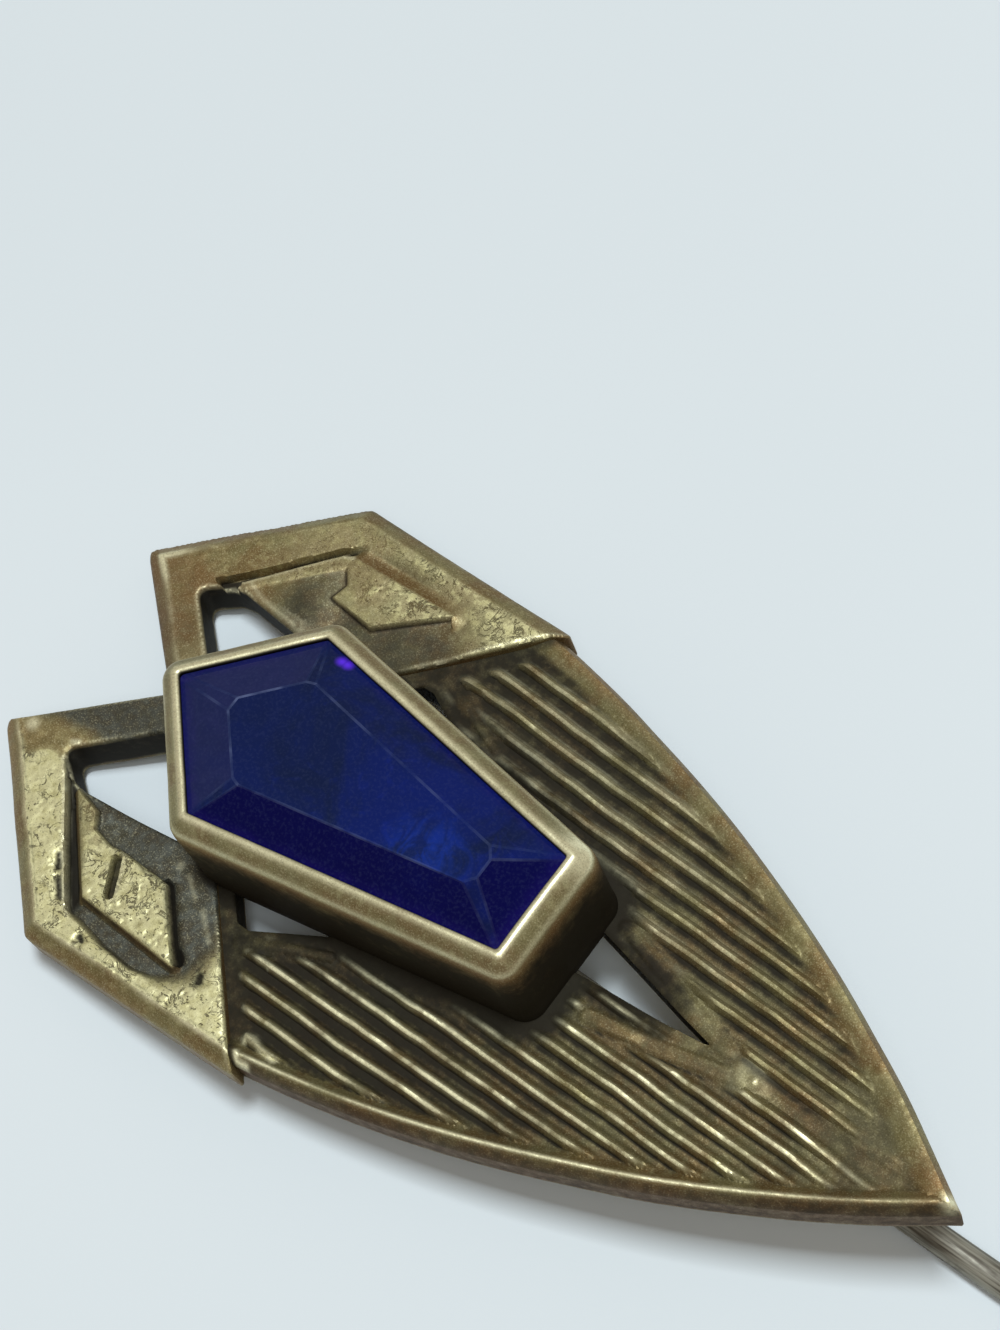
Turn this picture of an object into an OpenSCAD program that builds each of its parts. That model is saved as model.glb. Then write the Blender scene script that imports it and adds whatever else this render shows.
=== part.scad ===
// Stick pin: a cast and pierced head with two angular wings over a ribbed shield,
// a pentagonal faceted stone in a tall bezel, and a straight steel stem behind.
// The pin lies face up on z = 0: the stem is flat along X and the wing corners touch too.

/* [Pin] */
// Overall length, from the wing corners to the stem's point
pin_len = 75; // [60:1:90]
// Angle by which the shield's tip stands up from the stem, in degrees
head_rise = 7.5; // [7:0.25:9]

/* [Head plate] */
// Length of the head, from the wing corners to the shield's tip
head_len = 30.2; // [29.2:0.5:33.2]
// Thickness of the plate under the wings
plate_t = 1.4; // [1.2:0.1:1.6]
// Depth of the ribbed floor below the wings' faces
floor_drop = 0.45; // [0.35:0.05:0.6]
// Bevel along the wings' outer edges
wing_bevel = 0.4; // [0.2:0.05:0.5]

/* [Wings] */
// Half distance between the two upper wing corners
wing_top_half = 3.25; // [2.85:0.1:3.65]
// Half width of the head across the wings
wing_half_w = 7.85; // [7.45:0.1:8.15]
// Depth of the notch between the wings
notch_deep = 3.7; // [3.2:0.1:3.9]
// Width of the groove around the hook block
groove_w = 0.36; // [0.25:0.02:0.5]
// Depth of that groove
groove_deep = 0.5; // [0.3:0.05:0.7]
// Depth of the sunk turn between the hook block and the shield
turn_deep = 0.24; // [0.1:0.02:0.35]

/* [Shield] */
// Half width of the shield where it meets the wings
shield_half_w = 7.15; // [6.8:0.05:7.4]
// Bulge of each curved side over its chord
shield_bulge = 0.97; // [0.7:0.05:1.2]
// Width of the smooth border from the edge to the ribbed floor
border_w = 0.95; // [0.8:0.05:1.1]
// Height of the border's crest over the ribbed floor
border_h = 0.33; // [0.2:0.02:0.4]

/* [Ribs] */
// Distance between neighbouring ribs
rib_pitch = 0.62; // [0.58:0.01:0.7]
// Width of a rib at its foot
rib_foot = 0.34; // [0.25:0.01:0.42]
// Width of a rib at its top
rib_top = 0.12; // [0.08:0.01:0.2]
// Height of a rib over the floor
rib_h = 0.26; // [0.15:0.01:0.32]
// Turn of all the ribs together about the head's axis, in degrees
rib_turn = 2.2; // [0:0.1:3]

/* [Stone and bezel] */
// Length of the stone along the head
stone_len = 12.3; // [11.5:0.1:12.6]
// Width of the stone at its shoulders
stone_w = 6.06; // [5.6:0.1:6.3]
// Width of the stone at its straight end
stone_end_w = 3.0; // [2.6:0.1:3.3]
// Distance from the wing corners to the stone's apex
stone_start = 5.65; // [5.5:0.05:5.8]
// Height of the bezel's lip over the wings' faces
bezel_h = 3.14; // [2.9:0.02:3.4]
// Thickness of the bezel's wall at its foot
bezel_wall = 0.62; // [0.5:0.02:0.7]
// Gap between the stone and the metal
stone_gap = 0.03; // [0.02:0.01:0.05]

/* [Stem] */
// Diameter of the stem wire
stem_d = 0.8; // [0.7:0.05:1]
// Length of the tapered point
point_len = 5; // [3:0.5:8]
// Gap between the stem and its saddle
stem_gap = 0.03; // [0.02:0.01:0.05]

/* [Hidden] */
arc_fn = 360;
wire_fn = 48;
// Cutting solids reach this far past the metal, and raised ones are rooted this deep in it
over = 1;
sink = 0.15;

// Stations along the head are measured from the wing corners, then moved so that
// the shield's tip is at x = 0 and the wing corners are at x = -head_len.
function at(p) = [p[0] - head_len, p[1]];
function row(points) = [for (p = points) at(p)];
function unit(v) = v / norm(v);

// Wing outline. Columns: station, distance from the axis.
notch = [notch_deep, 0];
corner_top = [0, wing_top_half];
corner_side = [5.05, wing_half_w];
corner_low = [12.7, wing_half_w - 0.3];
// The wing ends on a line at 45 degrees: station = wing_end + distance from the axis.
wing_end = 5.1;
wing_inner = [wing_end + 2.2, 2.2];
wing_outline = [notch, corner_top, corner_side, corner_low, wing_inner, [wing_end + 5, 0]];

// Pierced openings of one side. Columns: station, distance from the axis.
wing_slot = [[2.35, 3], [4.55, 1], [6.1, 1], [8.2, 3.15], [3.7, 3.66], [3.2, 3.6]];
side_hole = [[8.4, 2.7], [wing_end + 4.8, 4.15], [10.3, 4.15], [12.4, 3.05], [12.1, 2.5]];
// The opening below the stone was pierced off the axis. Columns: station, y.
low_hole = [[18.1, 1.2], [18.1, -0.25], [22.5, 0.06], [22.7, 0.12]];

// Hook block relief of one side. Columns: station, distance from the axis.
groove_path = [[3.05, 3.5], [5.58, 6.48]];
low_groove = [[5.65, 6.33], [9.5, 6.2], [9.85, 6.5], [7.8, 6.74], [5.8, 6.7]];
sunk_turn = [[4.4, 3], [4.6, 3.9], [4.8, 4.4], [5.8, 4.75], [7.75, 4.55], [9.5, 6.2], [9.85, 6.5], [11.4, 5.95], [9.3, 3]];
slit_path = [[5.9, 4.72], [6.62, 5.6]];
slit_w = 0.22;

// Circle of the shield's curved side, from its width, its bulge and the tip at the origin
shield_top = [13.3 - head_len, shield_half_w];
border_start = 12.5;
chord = norm(shield_top);
side_r = chord * chord / (8 * shield_bulge) + shield_bulge / 2;
chord_out = unit([shield_top[1], -shield_top[0]]);
side_centre = shield_top / 2 - chord_out * (side_r - shield_bulge);

// Border section. Columns: distance in from the edge, height over the ribbed floor.
border_section = [[border_w, 0], [0.62, border_h], [0.4, border_h], [0.08, border_h * 0.35], [0, 0.02]];

// Ribs of each side. Columns: side, distance of the first rib from the axis, number of ribs.
rib_sides = [[1, 0.63, 10], [-1, 0.28, 11]];
rib_fan = 0.34;
rib_station = 18.2;
rib_back = 8;
rib_reach = 11;
rib_start = 0.75;
rib_stop = 3.2;
// Floor without ribs beside the small openings of one side. Columns: station, distance from the axis.
side_bare = [[7, 2], [9.7, 4.95], [12.9, 3.62], [13.8, 2.8], [13, 2]];
// Floor without ribs round the low opening. Columns: x and y, from the tip.
low_bare = [[-13, 1.6], [-11.3, 1.55], [-7, 0.24], [-6.3, 0.02], [-6.5, -0.26], [-10.6, -1], [-11.1, -1.3], [-13, -1.8]];

// Raised bars beside the openings. Columns: x and y of both ends, from the tip, and width.
frame_bars = [
    [[-11.2, 1.5], [-7, 0.24], 0.38],
    [[-10.6, -1], [-6.5, -0.26], 0.42],
    [[-19.9, -4.55], [-17.4, -3.5], 0.26],
    [[-20, 4.75], [-17.3, 3.65], 0.26]
];
boss_at = [-6.3, 0.02];
boss_r = 0.42;

// Stone outline and its edges' inward offsets
shoulder = 2.95;
stone_outline = row([
    [stone_start, 0],
    [stone_start + shoulder, -stone_w / 2],
    [stone_start + stone_len, -stone_end_w / 2],
    [stone_start + stone_len, stone_end_w / 2],
    [stone_start + shoulder, stone_w / 2]
]);
corner_steps = 3;

// Bezel section. Columns: distance out from the stone's edge, height over the wings' faces.
bezel_foot = -floor_drop - sink;
bezel_section = [
    [bezel_wall, bezel_foot], [bezel_wall, bezel_h - 0.7], [bezel_wall - 0.05, bezel_h - 0.42],
    [bezel_wall - 0.2, bezel_h - 0.16], [0.28, bezel_h - 0.04], [0.1, bezel_h], [-0.06, bezel_h - 0.04],
    [-0.1, bezel_h - 0.14], [stone_gap, bezel_h - 0.16], [stone_gap, bezel_h - 1.19],
    [-0.55, bezel_h - 1.19], [-0.55, 0.2]
];
// Stone section. Columns: distance out from the girdle, height below the lip, corner cut.
stone_section = [
    [-1.32, -0.36, 0.3], [0, 0.21, 0.1], [0, 0.48, 0.1], [-0.62, 1.16, 0.12], [-1.12, 1.95, 0.12], [-1.32, 2.35, 0.12]
];

// Places of the head over the surface: the wings' lower corners touch it
lift_x = head_len * cos(head_rise) - pin_len / 2;
lift_z = head_len * sin(head_rise) + plate_t * cos(head_rise);
stem_r = stem_d / 2;
// The stem's end tapers inside the saddle, and ends at this station of the head
stem_seat = 8.4;
seat_r = stem_r * 0.85;
seat_len = 6;
stem_from = lift_x + stem_seat - head_len;
stem_to = pin_len / 2;
point_r = 0.06;
saddle_w = 1.9;
saddle_clear = 0.15;
saddle_end = 0.3;
saddle_from = stem_from - saddle_end;
// Top of the saddle, inside the plate: a little under the wings' faces where the stem ends
saddle_top = lift_z + (stem_seat - head_len) * sin(head_rise) - plate_t / 4;

// Direction out of the polygon's edge that starts at corner i, for corners listed anticlockwise
function edge_out(pts, i) =
    let (a = pts[i], b = pts[(i + 1) % len(pts)], d = unit(b - a)) [d[1], -d[0]];

// Corner i of the outline after its edges have moved out by d
function moved_corner(pts, i, d) =
    let (m = edge_out(pts, (i + len(pts) - 1) % len(pts)), n = edge_out(pts, i)) pts[i] + (m + n) * d / (1 + m * n);

// Outline moved out by d, with each corner turned through a few points at a radius of at least least_r
function moved_outline(pts, d, least_r, steps) =
    let (r = max(d, least_r))
    [for (i = [0:len(pts) - 1])
        let (m = edge_out(pts, (i + len(pts) - 1) % len(pts)), n = edge_out(pts, i), c = moved_corner(pts, i, d - r))
        for (k = [0:steps - 1])
            let (s = k / (steps - 1)) c + unit(m * (1 - s) + n * s) * r];

// Closed solid through rings of equally many points, listed from the first cap to the last
module ring_solid(rings) {
    n = len(rings[0]);
    last = len(rings) - 1;
    points = [for (ring = rings) for (p = ring) p];
    sides = [for (i = [0:last - 1]) for (k = [0:n - 1])
        let (j = (k + 1) % n) [i * n + k, (i + 1) * n + k, (i + 1) * n + j, i * n + j]];
    first_cap = [for (k = [0:n - 1]) k];
    last_cap = [for (k = [n - 1:-1:0]) last * n + k];
    polyhedron(points, concat([first_cap], sides, [last_cap]), convexity = 8);
}

function ring_at(outline, z) = [for (p = outline) [p[0], p[1], z]];

module both_sides() {
    children();
    mirror([0, 1, 0]) children();
}

module slab(points, z0, z1) {
    translate([0, 0, z0]) linear_extrude(z1 - z0) polygon(points);
}

// Straight channel or bar between two plan points
module bar(a, b, w, z0, z1, extra = 0) {
    d = b - a;
    translate([a[0], a[1], z0]) rotate([0, 0, atan2(d[1], d[0])])
        translate([-extra, -w / 2, 0]) cube([norm(d) + 2 * extra, w, z1 - z0]);
}

// Rib or frame bar with sloping sides between two plan points, standing on the ribbed floor
module ridge(a, b, foot, top, high) {
    d = b - a;
    section = [[-foot / 2, -sink], [foot / 2, -sink], [foot / 2, 0], [top / 2, high], [-top / 2, high], [-foot / 2, 0]];
    translate([a[0], a[1], -floor_drop]) rotate([0, 0, atan2(d[1], d[0])])
        rotate([90, 0, 90]) linear_extrude(norm(d)) polygon(section);
}

// Prism that bevels the upper edge from a to b, with the metal on its left
module edge_bevel(a, b) {
    d = b - a;
    section = [[-wing_bevel, over], [-wing_bevel, 0], [0, -wing_bevel], [over, -wing_bevel], [over, over]];
    translate([a[0], a[1], 0]) rotate([0, 0, atan2(d[1], d[0])])
        translate([-over, 0, 0]) rotate([90, 0, 90]) linear_extrude(norm(d) + 2 * over)
            polygon([for (p = section) [-p[0], p[1]]]);
}

module wing_plate() {
    slab(row(wing_outline), -plate_t, 0);
}

module wing_relief_cuts() {
    bar(at(groove_path[0]), at(groove_path[1]), groove_w, -groove_deep, over);
    slab(row(low_groove), -groove_deep * 0.6, over);
    slab(row(sunk_turn), -turn_deep, over);
    bar(at(slit_path[0]), at(slit_path[1]), slit_w, -turn_deep - 0.1, over);
}

module wing_bevels() {
    edge_bevel(at(corner_top), at(notch));
    edge_bevel(at(corner_side), at(corner_top));
    edge_bevel(at(corner_low), at(corner_side));
}

module wing() {
    difference() {
        wing_plate();
        wing_relief_cuts();
        wing_bevels();
    }
}

// Flat plan of the shield, drawn in by inset from its curved edges
module shield_plan(inset) {
    intersection() {
        translate(side_centre) circle(side_r - inset, $fn = arc_fn);
        translate([side_centre[0], -side_centre[1]]) circle(side_r - inset, $fn = arc_fn);
        translate([-head_len + wing_end, -wing_half_w]) square([head_len, 2 * wing_half_w]);
    }
}

// Area of one side that the ribs may cover
module rib_field() {
    translate([0, 0, -floor_drop - over]) linear_extrude(2 * over) intersection() {
        shield_plan(border_w - 0.1);
        polygon(row([
            [wing_end + rib_start, 0], [wing_end + rib_start + wing_half_w, wing_half_w],
            [head_len - rib_stop, wing_half_w], [head_len - rib_stop, 0]
        ]));
    }
}

module side_ribs(side, first, count) {
    intersection() {
        if (side > 0) rib_field();
        else mirror([0, 1, 0]) rib_field();
        for (i = [0:count - 1]) {
            y = side * (first + i * rib_pitch);
            turn = -rib_turn - side * i * rib_fan;
            x = rib_station - head_len;
            along = [cos(turn), sin(turn)];
            ridge([x, y] - along * rib_back, [x, y] + along * rib_reach, rib_foot, rib_top, rib_h);
        }
    }
}

module ribs() {
    difference() {
        for (s = rib_sides) side_ribs(s[0], s[1], s[2]);
        both_sides() slab(row(side_bare), -plate_t, over);
        slab(low_bare, -plate_t, over);
    }
}

module shield_border() {
    section = [for (p = border_section) [side_r - p[0], p[1] - floor_drop]];
    closed = concat([[side_r - border_w, -plate_t + over / 2], [side_r - border_w, -floor_drop]],
        section, [[side_r, -plate_t + over / 2]]);
    intersection() {
        translate([side_centre[0], side_centre[1], 0]) rotate_extrude($fn = arc_fn) polygon(closed);
        translate([border_start - head_len, 0, -over * 2]) cube([head_len, wing_half_w + 1, 4 * over]);
    }
}

module shield() {
    translate([0, 0, -plate_t]) linear_extrude(plate_t - floor_drop) shield_plan(0);
    both_sides() shield_border();
    ribs();
    for (f = frame_bars) ridge(f[0], f[1], f[2], rib_top, rib_h);
    translate([boss_at[0], boss_at[1], -floor_drop - sink]) cylinder(h = sink + rib_h, r = boss_r, $fn = wire_fn);
}

module openings() {
    both_sides() {
        slab(row(wing_slot), -plate_t - over, over);
        slab(row(side_hole), -plate_t - over, over);
    }
    slab(row(low_hole), -plate_t - over, over);
}

module bezel() {
    ring_solid([for (s = bezel_section)
        ring_at(moved_outline(stone_outline, s[0], 0.04, corner_steps), s[1])]);
}

// Saddle on the back that grips the stem's end
module saddle() {
    translate([saddle_from, -saddle_w / 2, saddle_clear])
        cube([seat_len, saddle_w, saddle_top - saddle_clear]);
}

module saddle_bore() {
    translate([stem_from - stem_gap, 0, stem_r]) rotate([0, 90, 0])
        cylinder(h = seat_len + stem_gap, r1 = seat_r + stem_gap, r2 = stem_r + stem_gap, $fn = wire_fn);
}

module place_head() {
    translate([lift_x, 0, lift_z]) rotate([0, -head_rise, 0]) children();
}

module head() {
    color("darkgoldenrod") difference() {
        union() {
            place_head() {
                difference() {
                    union() {
                        both_sides() wing();
                        shield();
                    }
                    openings();
                }
                bezel();
            }
            saddle();
        }
        saddle_bore();
    }
}

module stone() {
    color("midnightblue") place_head()
        ring_solid([for (s = [for (i = [len(stone_section) - 1:-1:0]) stone_section[i]])
            ring_at(moved_outline(stone_outline, s[0], s[2], 2), bezel_h - s[1])]);
}

module pin_stem() {
    straight = stem_to - stem_from - seat_len - point_len;
    color("silver") translate([stem_from, 0, stem_r]) rotate([0, 90, 0]) {
        cylinder(h = seat_len, r1 = seat_r, r2 = stem_r, $fn = wire_fn);
        translate([0, 0, seat_len]) cylinder(h = straight, r = stem_r, $fn = wire_fn);
        translate([0, 0, seat_len + straight]) cylinder(h = point_len, r1 = stem_r, r2 = point_r, $fn = wire_fn);
    }
}

head();
stone();
pin_stem();
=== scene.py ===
import math
from functools import reduce

import bmesh
import bpy
import numpy as np
from mathutils import Matrix, Vector
from mathutils.geometry import delaunay_2d_cdt


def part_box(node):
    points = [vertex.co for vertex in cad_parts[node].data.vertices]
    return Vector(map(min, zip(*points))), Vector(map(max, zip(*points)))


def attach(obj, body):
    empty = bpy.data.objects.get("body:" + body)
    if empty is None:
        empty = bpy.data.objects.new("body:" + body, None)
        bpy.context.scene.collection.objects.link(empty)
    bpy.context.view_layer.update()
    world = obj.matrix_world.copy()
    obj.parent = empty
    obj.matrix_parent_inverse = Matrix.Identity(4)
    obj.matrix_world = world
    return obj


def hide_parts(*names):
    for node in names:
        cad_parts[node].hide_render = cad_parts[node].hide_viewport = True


bl_info = {
    "name": "Stick pin",
    "version": (1, 0, 0),
    "blender": (4, 5, 0),
    "location": "View3D > Sidebar > Stick pin",
    "description": "Makes a cast stick pin with pierced wings, a ribbed shield and a faceted stone",
    "category": "Add Mesh",
}

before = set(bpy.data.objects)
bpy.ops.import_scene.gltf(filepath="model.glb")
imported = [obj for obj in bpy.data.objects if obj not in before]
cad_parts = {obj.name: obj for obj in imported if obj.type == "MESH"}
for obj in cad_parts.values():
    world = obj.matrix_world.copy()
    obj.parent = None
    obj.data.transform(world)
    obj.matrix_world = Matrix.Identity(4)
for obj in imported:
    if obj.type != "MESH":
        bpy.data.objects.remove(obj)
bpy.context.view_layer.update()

MM = 1000.0
# Shares that the materials read from the meshes. The first is wear, partly painted highlight, and
# dark is patina, partly painted shade. On the stone the first marks the worn edges, partly painted
# highlight, grey the facets with a painted sheen, dark those with painted shade, and copper the
# painted violet rim light.
LOOKS = ("wear_and_highlight", "dark", "gilt", "grey", "copper")

# Plan places on the head are given as a station, measured from the wing corners, and a distance
# from the axis, in millimetres. Heights are over the wings' faces. Side 1 has the olive wing and
# side -1 the gilt one.
SIDES = (1, -1)
# The wings' lower edges start at this station on the axis and run out at 45 degrees
WING_END = 5.1
# Wing outline: the notch, the top, side and low corners, and a hidden one. A list of radii for the
# corners stands under this one and under the slot's.
WING_CORNERS = [(3.7, 0.0), (0.0, 3.25), (5.05, 7.85), (12.7, 7.55), (WING_END + 1.4, 1.4)]
WING_RADII = [0.3, 0.35, 0.4, 0.1, 0.3]
WING_SLOT = [(2.35, 3.0), (4.55, 1.0), (6.1, 1.0), (8.2, 3.15), (3.7, 3.66), (3.2, 3.6)]
WING_SLOT_RADII = [0.3, 0.3, 0.2, 0.1, 0.1, 0.35]
# Relief of each side's wing: the hook block, whose outer sides come first, and the sunk ground
BLOCK = {
    1: [
        (3.42, 3.86), (5.5, 6.1), (5.8, 6.2), (9.5, 6.22), (7.66, 4.67), (6.12, 4.9), (6.26, 5.42),
        (5.88, 5.88), (3.62, 3.78),
    ],
    -1: [
        (3.6, 3.74), (5.0, 5.14), (5.88, 6.03), (9.38, 6.17), (7.68, 4.47), (5.93, 4.43),
        (5.5, 4.49), (4.82, 4.36), (4.5, 3.92),
    ],
}
BLOCK_OUTER = 4
SUNK = {
    1: [
        (2.7, 3.55), (3.88, 4.7), (4.67, 5.53), (5.36, 6.27), (5.8, 6.55), (6.6, 6.72), (7.6, 6.8),
        (9.3, 6.6), (9.9, 6.2), (10.3, 5.7), (10.5, 5.0), (8.0, 2.3), (3.3, 3.3),
    ],
    -1: [
        (2.6, 3.2), (5.46, 6.38), (5.72, 6.56), (6.05, 6.63), (7.3, 6.84), (8.4, 6.9), (9.3, 6.68),
        (9.85, 6.3), (10.05, 5.8), (10.2, 4.9), (8.0, 2.3), (3.2, 3.2),
    ],
}
# Slit in the gilt wing's block
SLIT = [(5.98, 4.68), (6.48, 5.58)]
# Pale wisps and dark holes of the gilt wing. Columns: path, size, and share of the wisps.
GILT_WISPS = [
    ([(8.0, 3.9), (8.3, 4.1), (8.55, 4.3)], 0.07, 0.3),
    ([(9.0, 4.45), (9.3, 4.7), (9.75, 5.05)], 0.08, 0.28),
    ([(7.55, 3.8), (7.6, 3.85)], 0.1, 0.35),
    ([(2.45, 2.7), (2.6, 2.62)], 0.08, 0.8),
]
GILT_HOLES = [
    ([(4.45, 5.47), (4.7, 5.75)], 0.14), ([(4.95, 6.05), (5.3, 6.38)], 0.15),
    ([(10.2, 5.95), (10.32, 6.1)], 0.16), ([(9.2, 5.7), (9.35, 5.9)], 0.12),
    ([(6.6, 7.0), (6.75, 7.05)], 0.1), ([(3.5, 4.0), (3.6, 4.15)], 0.09),
]
# Edges of the olive wing that are worn bright, partly painted highlight: the block's outer one,
# and the one by the slot
OLIVE_BLOCK_EDGE = [(3.44, 3.9), (5.42, 6.08), (5.8, 6.2)]
OLIVE_SLOT_EDGE = [(3.64, 4.0), (4.38, 3.76), (5.65, 3.62)]
WING_EDGE_RADIUS = 0.06

# Openings of the shield, one beside the stone on each side and one below it. Columns: station, y.
SIDE_HOLE = [(8.4, 2.7), (9.9, 4.15), (10.3, 4.15), (12.4, 3.05), (12.1, 2.5)]
SIDE_HOLE_RADIUS = 0.12
LOW_HOLE = [(18.1, 1.2), (18.1, -0.25), (22.5, 0.06), (22.7, 0.12)]
LOW_HOLE_RADIUS = 0.06
# Circle through the tip for the shield's side, from its half width and bulge at this station
SHIELD_STATION = 13.3
SHIELD_HALF = 7.15
SHIELD_BULGE = 0.97
# How far the circle is followed back from the tip, and how far the shield runs in under the wings
SHIELD_REACH = 18.05
SHIELD_TUCK = 0.35
SHIELD_EDGE_RADIUS = 0.05
# Border section. Columns: distance in from the edge, share of the border's height.
BORDER = [
    (0.0, 0.1), (0.04, 0.36), (0.12, 0.7), (0.22, 0.95), (0.3, 1.0), (0.37, 0.9), (0.48, 0.45),
    (0.6, 0.1), (0.7, 0.0),
]
BORDER_CREST = 0.3
# Ribs of each side: distance of the first one from the axis at this station, and their number. All
# turn a little from the axis, and each a little more than the last, in degrees.
RIBS = {1: (0.63, 10), -1: (0.28, 11)}
RIB_STATION = 18.2
RIB_TURN = 2.2
RIB_FAN = 0.34
# Bright scratches beside the gilt wing, and a reddish line at the boss. Columns: station, y.
SCRATCHES = [
    [(12.35, -6.62), (12.3, -6.5), (12.5, -6.45), (12.9, -6.57), (13.4, -6.62)],
    [(12.45, -7.0), (12.6, -7.2), (12.9, -7.15)],
]
RED_LINE = [(24.5, 0.1), (26.2, 0.0)]
# Raised bars. Columns: both ends as station and y, then width.
BARS = [
    ([(19.0, 1.5), (23.2, 0.24)], 0.38),
    ([(19.6, -1.0), (23.7, -0.26)], 0.42),
    ([(10.3, -4.55), (12.8, -3.5)], 0.26),
    ([(10.2, 4.75), (12.9, 3.65)], 0.26),
]
BOSS = (23.9, 0.02)

# Stations of the stone's apex and, measured from it, of its shoulders
STONE_START = 5.65
STONE_SHOULDER = 2.95
# How far the bezel's wall stands out from the stone
BEZEL_WALL = 0.62
# Bezel section. Columns: distance out from the stone, height over the lip, wear and painted
# highlight, dark, copper. The lip is worn bright, with a painted highlight along the shoulder's
# outer edge; dark is painted shade in the line by the stone and down the wall to its foot.
BEZEL = [
    (0.62, -3.72, 0.0, 1.0, 0.0), (0.64, -3.4, 0.0, 1.0, 0.0), (0.62, -3.0, 0.0, 1.0, 0.0),
    (0.62, -2.4, 0.0, 1.0, 0.0), (0.62, -1.8, 0.0, 0.95, 0.1), (0.62, -1.3, 0.0, 0.8, 0.3),
    (0.62, -0.95, 0.0, 0.62, 0.5), (0.61, -0.7, 0.0, 0.4, 0.6), (0.59, -0.52, 0.1, 0.2, 0.5),
    (0.56, -0.42, 0.45, 0.0, 0.1), (0.52, -0.34, 0.45, 0.0, 0.0), (0.46, -0.27, 0.12, 0.18, 0.0),
    (0.39, -0.2, 0.05, 0.24, 0.0), (0.31, -0.13, 0.08, 0.2, 0.0), (0.24, -0.07, 0.18, 0.1, 0.0),
    (0.18, -0.03, 0.65, 0.0, 0.0), (0.13, -0.008, 1.0, 0.0, 0.0), (0.07, 0.0, 0.95, 0.0, 0.0),
    (0.02, -0.012, 0.9, 0.05, 0.0), (-0.02, -0.04, 0.1, 0.9, 0.0), (-0.035, -0.07, 0.0, 1.0, 0.0),
    (-0.035, -0.11, 0.0, 1.0, 0.0), (-0.02, -0.15, 0.0, 1.0, 0.0), (0.02, -0.2, 0.0, 1.0, 0.0),
    (0.03, -1.19, 0.0, 1.0, 0.0), (-0.55, -1.19, 0.0, 1.0, 0.0), (-0.55, -2.9, 0.0, 1.0, 0.0),
]
# Greatest distances between the bezel's points, along its sides and in height
BEZEL_STEPS = (0.09, 0.25)
# Stone section. Columns: distance out from the girdle, height over the lip, corner cut. A row of
# five distances is for the sides in turn, from the apex round by the gilt side.
STONE = [
    (-1.32, -2.35, 0.12), (-1.12, -1.95, 0.12), (-0.62, -1.16, 0.12), (0.0, -0.48, 0.1),
    (0.0, -0.19, 0.1), ((-1.45, -1.16, -1.44, -1.2, -1.42), 0.36, 0.3),
]

# Saddle: how far it runs past the wire's end, the height of its underside, how far under the wings'
# faces its top ends, its corner radius, and the room round the wire
SADDLE_PAST = 0.3
SADDLE_UNDER = 0.15
SADDLE_TUCK = 0.35
SADDLE_RADIUS = 0.28
SADDLE_ROOM = 0.03
# Rounding of the saddle's ends. Columns: distance in from the end, share of the full section.
SADDLE_END = [(0.0, 0.9), (0.03, 0.96), (0.1, 1.0)]
# The wire's seated end and its point. Columns: distance in from the end, then the share of the
# wire's radius for the one and the radius for the other.
WIRE_END = [(0.0, 0.7), (0.02, 0.8), (0.08, 0.85)]
WIRE_POINT = [(0.06, 0.06), (0.02, 0.04), (0.0, 0.012)]
# Sides of the saddle and of the wire, and the distance between the wire's rings
SADDLE_SIDES = 48
WIRE_SIDES = 40
WIRE_STEP = 0.3

# Rows of mesh points on the sculpted plates: in from an edge, beside a rib's crest, in from the
# shield's curved side, on both sides of a bar and of the slit, in from the sunk ground's edge and
# the block's, and past the bevel's inner edge
EDGE_ROWS = (0.035, 0.09)
RIB_ROWS = (-0.31, -0.23, -0.16, -0.105, -0.05, 0.0, 0.055, 0.12, 0.19, 0.26)
BORDER_ROWS = (0.08, 0.15, 0.21, 0.255, 0.3, 0.345, 0.39, 0.45, 0.53, 0.63, 0.78, 0.92)
BAR_ROWS = (0.0, 0.12, 0.25)
SLIT_ROWS = (0.0, 0.1, 0.17, 0.22)
SUNK_ROWS = (-0.11, -0.06, -0.02, 0.03, 0.09, 0.16)
BLOCK_ROWS = (0.03, -0.02, -0.07, -0.12, -0.2, -0.28)
BEVEL_ROWS = (-0.04, 0.02, 0.07, 0.13)
# Levels of the rows down a plate's wall, and looks of its plain back
WALL_LEVELS = (0.12, 0.35, 0.6, 0.85)
BACK_LOOK = {"dark": 0.35, "copper": 0.1}
# Mesh step of a plate's back, as a multiple of the mesh step
BACK_STEP = 5

# Soft lights. Columns: name, place, aim, side, power, tint.
LIGHTS = [
    ("key", (-0.03, 0.045, 0.42), (-0.01, 0.0, 0.0), 0.09, 1.23, (0.92, 0.985, 1.03)),
    ("front", (0.11, -0.09, 0.42), (-0.01, 0.0, 0.0), 0.16, 0.32, (0.95, 0.98, 1.0)),
]
ROOM_TINT = (1.0, 0.8, 0.63, 1.0)
ROOM_STRENGTH = 0.22
GROUND_HALF = 0.9
GROUND_LINES = 12
CAMERA_LENS = 90.0
CAMERA_PLACE = (-0.004043, -0.011180, 0.065889)
CAMERA_TURN = (
    (0.79357, -0.51822, 0.31891), (0.59724, 0.76362, -0.24533), (-0.11639, 0.38515, 0.91549),
)


# Numbers and noise


def unit(v):
    v = np.asarray(v, float)
    return v / np.linalg.norm(v)


def across(d):
    """A direction, or each of several, turned a quarter to the left."""
    return np.stack([-d[..., 1], d[..., 0]], -1)


def away(points, place):
    """Distance of each point from a place."""
    return np.linalg.norm(points - np.array(place), axis=1)


def ramp(lo, hi, x):
    """0 below lo and 1 above hi, with a soft start and end."""
    t = np.clip((x - lo) / (hi - lo), 0.0, 1.0)
    return t * t * (3.0 - 2.0 * t)


def hill(x, width):
    """1 at x = 0, falling off over about width."""
    return np.exp(-((x / width) ** 2))


def most(*values):
    """The greatest of the values at each point."""
    return reduce(np.maximum, values)


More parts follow.
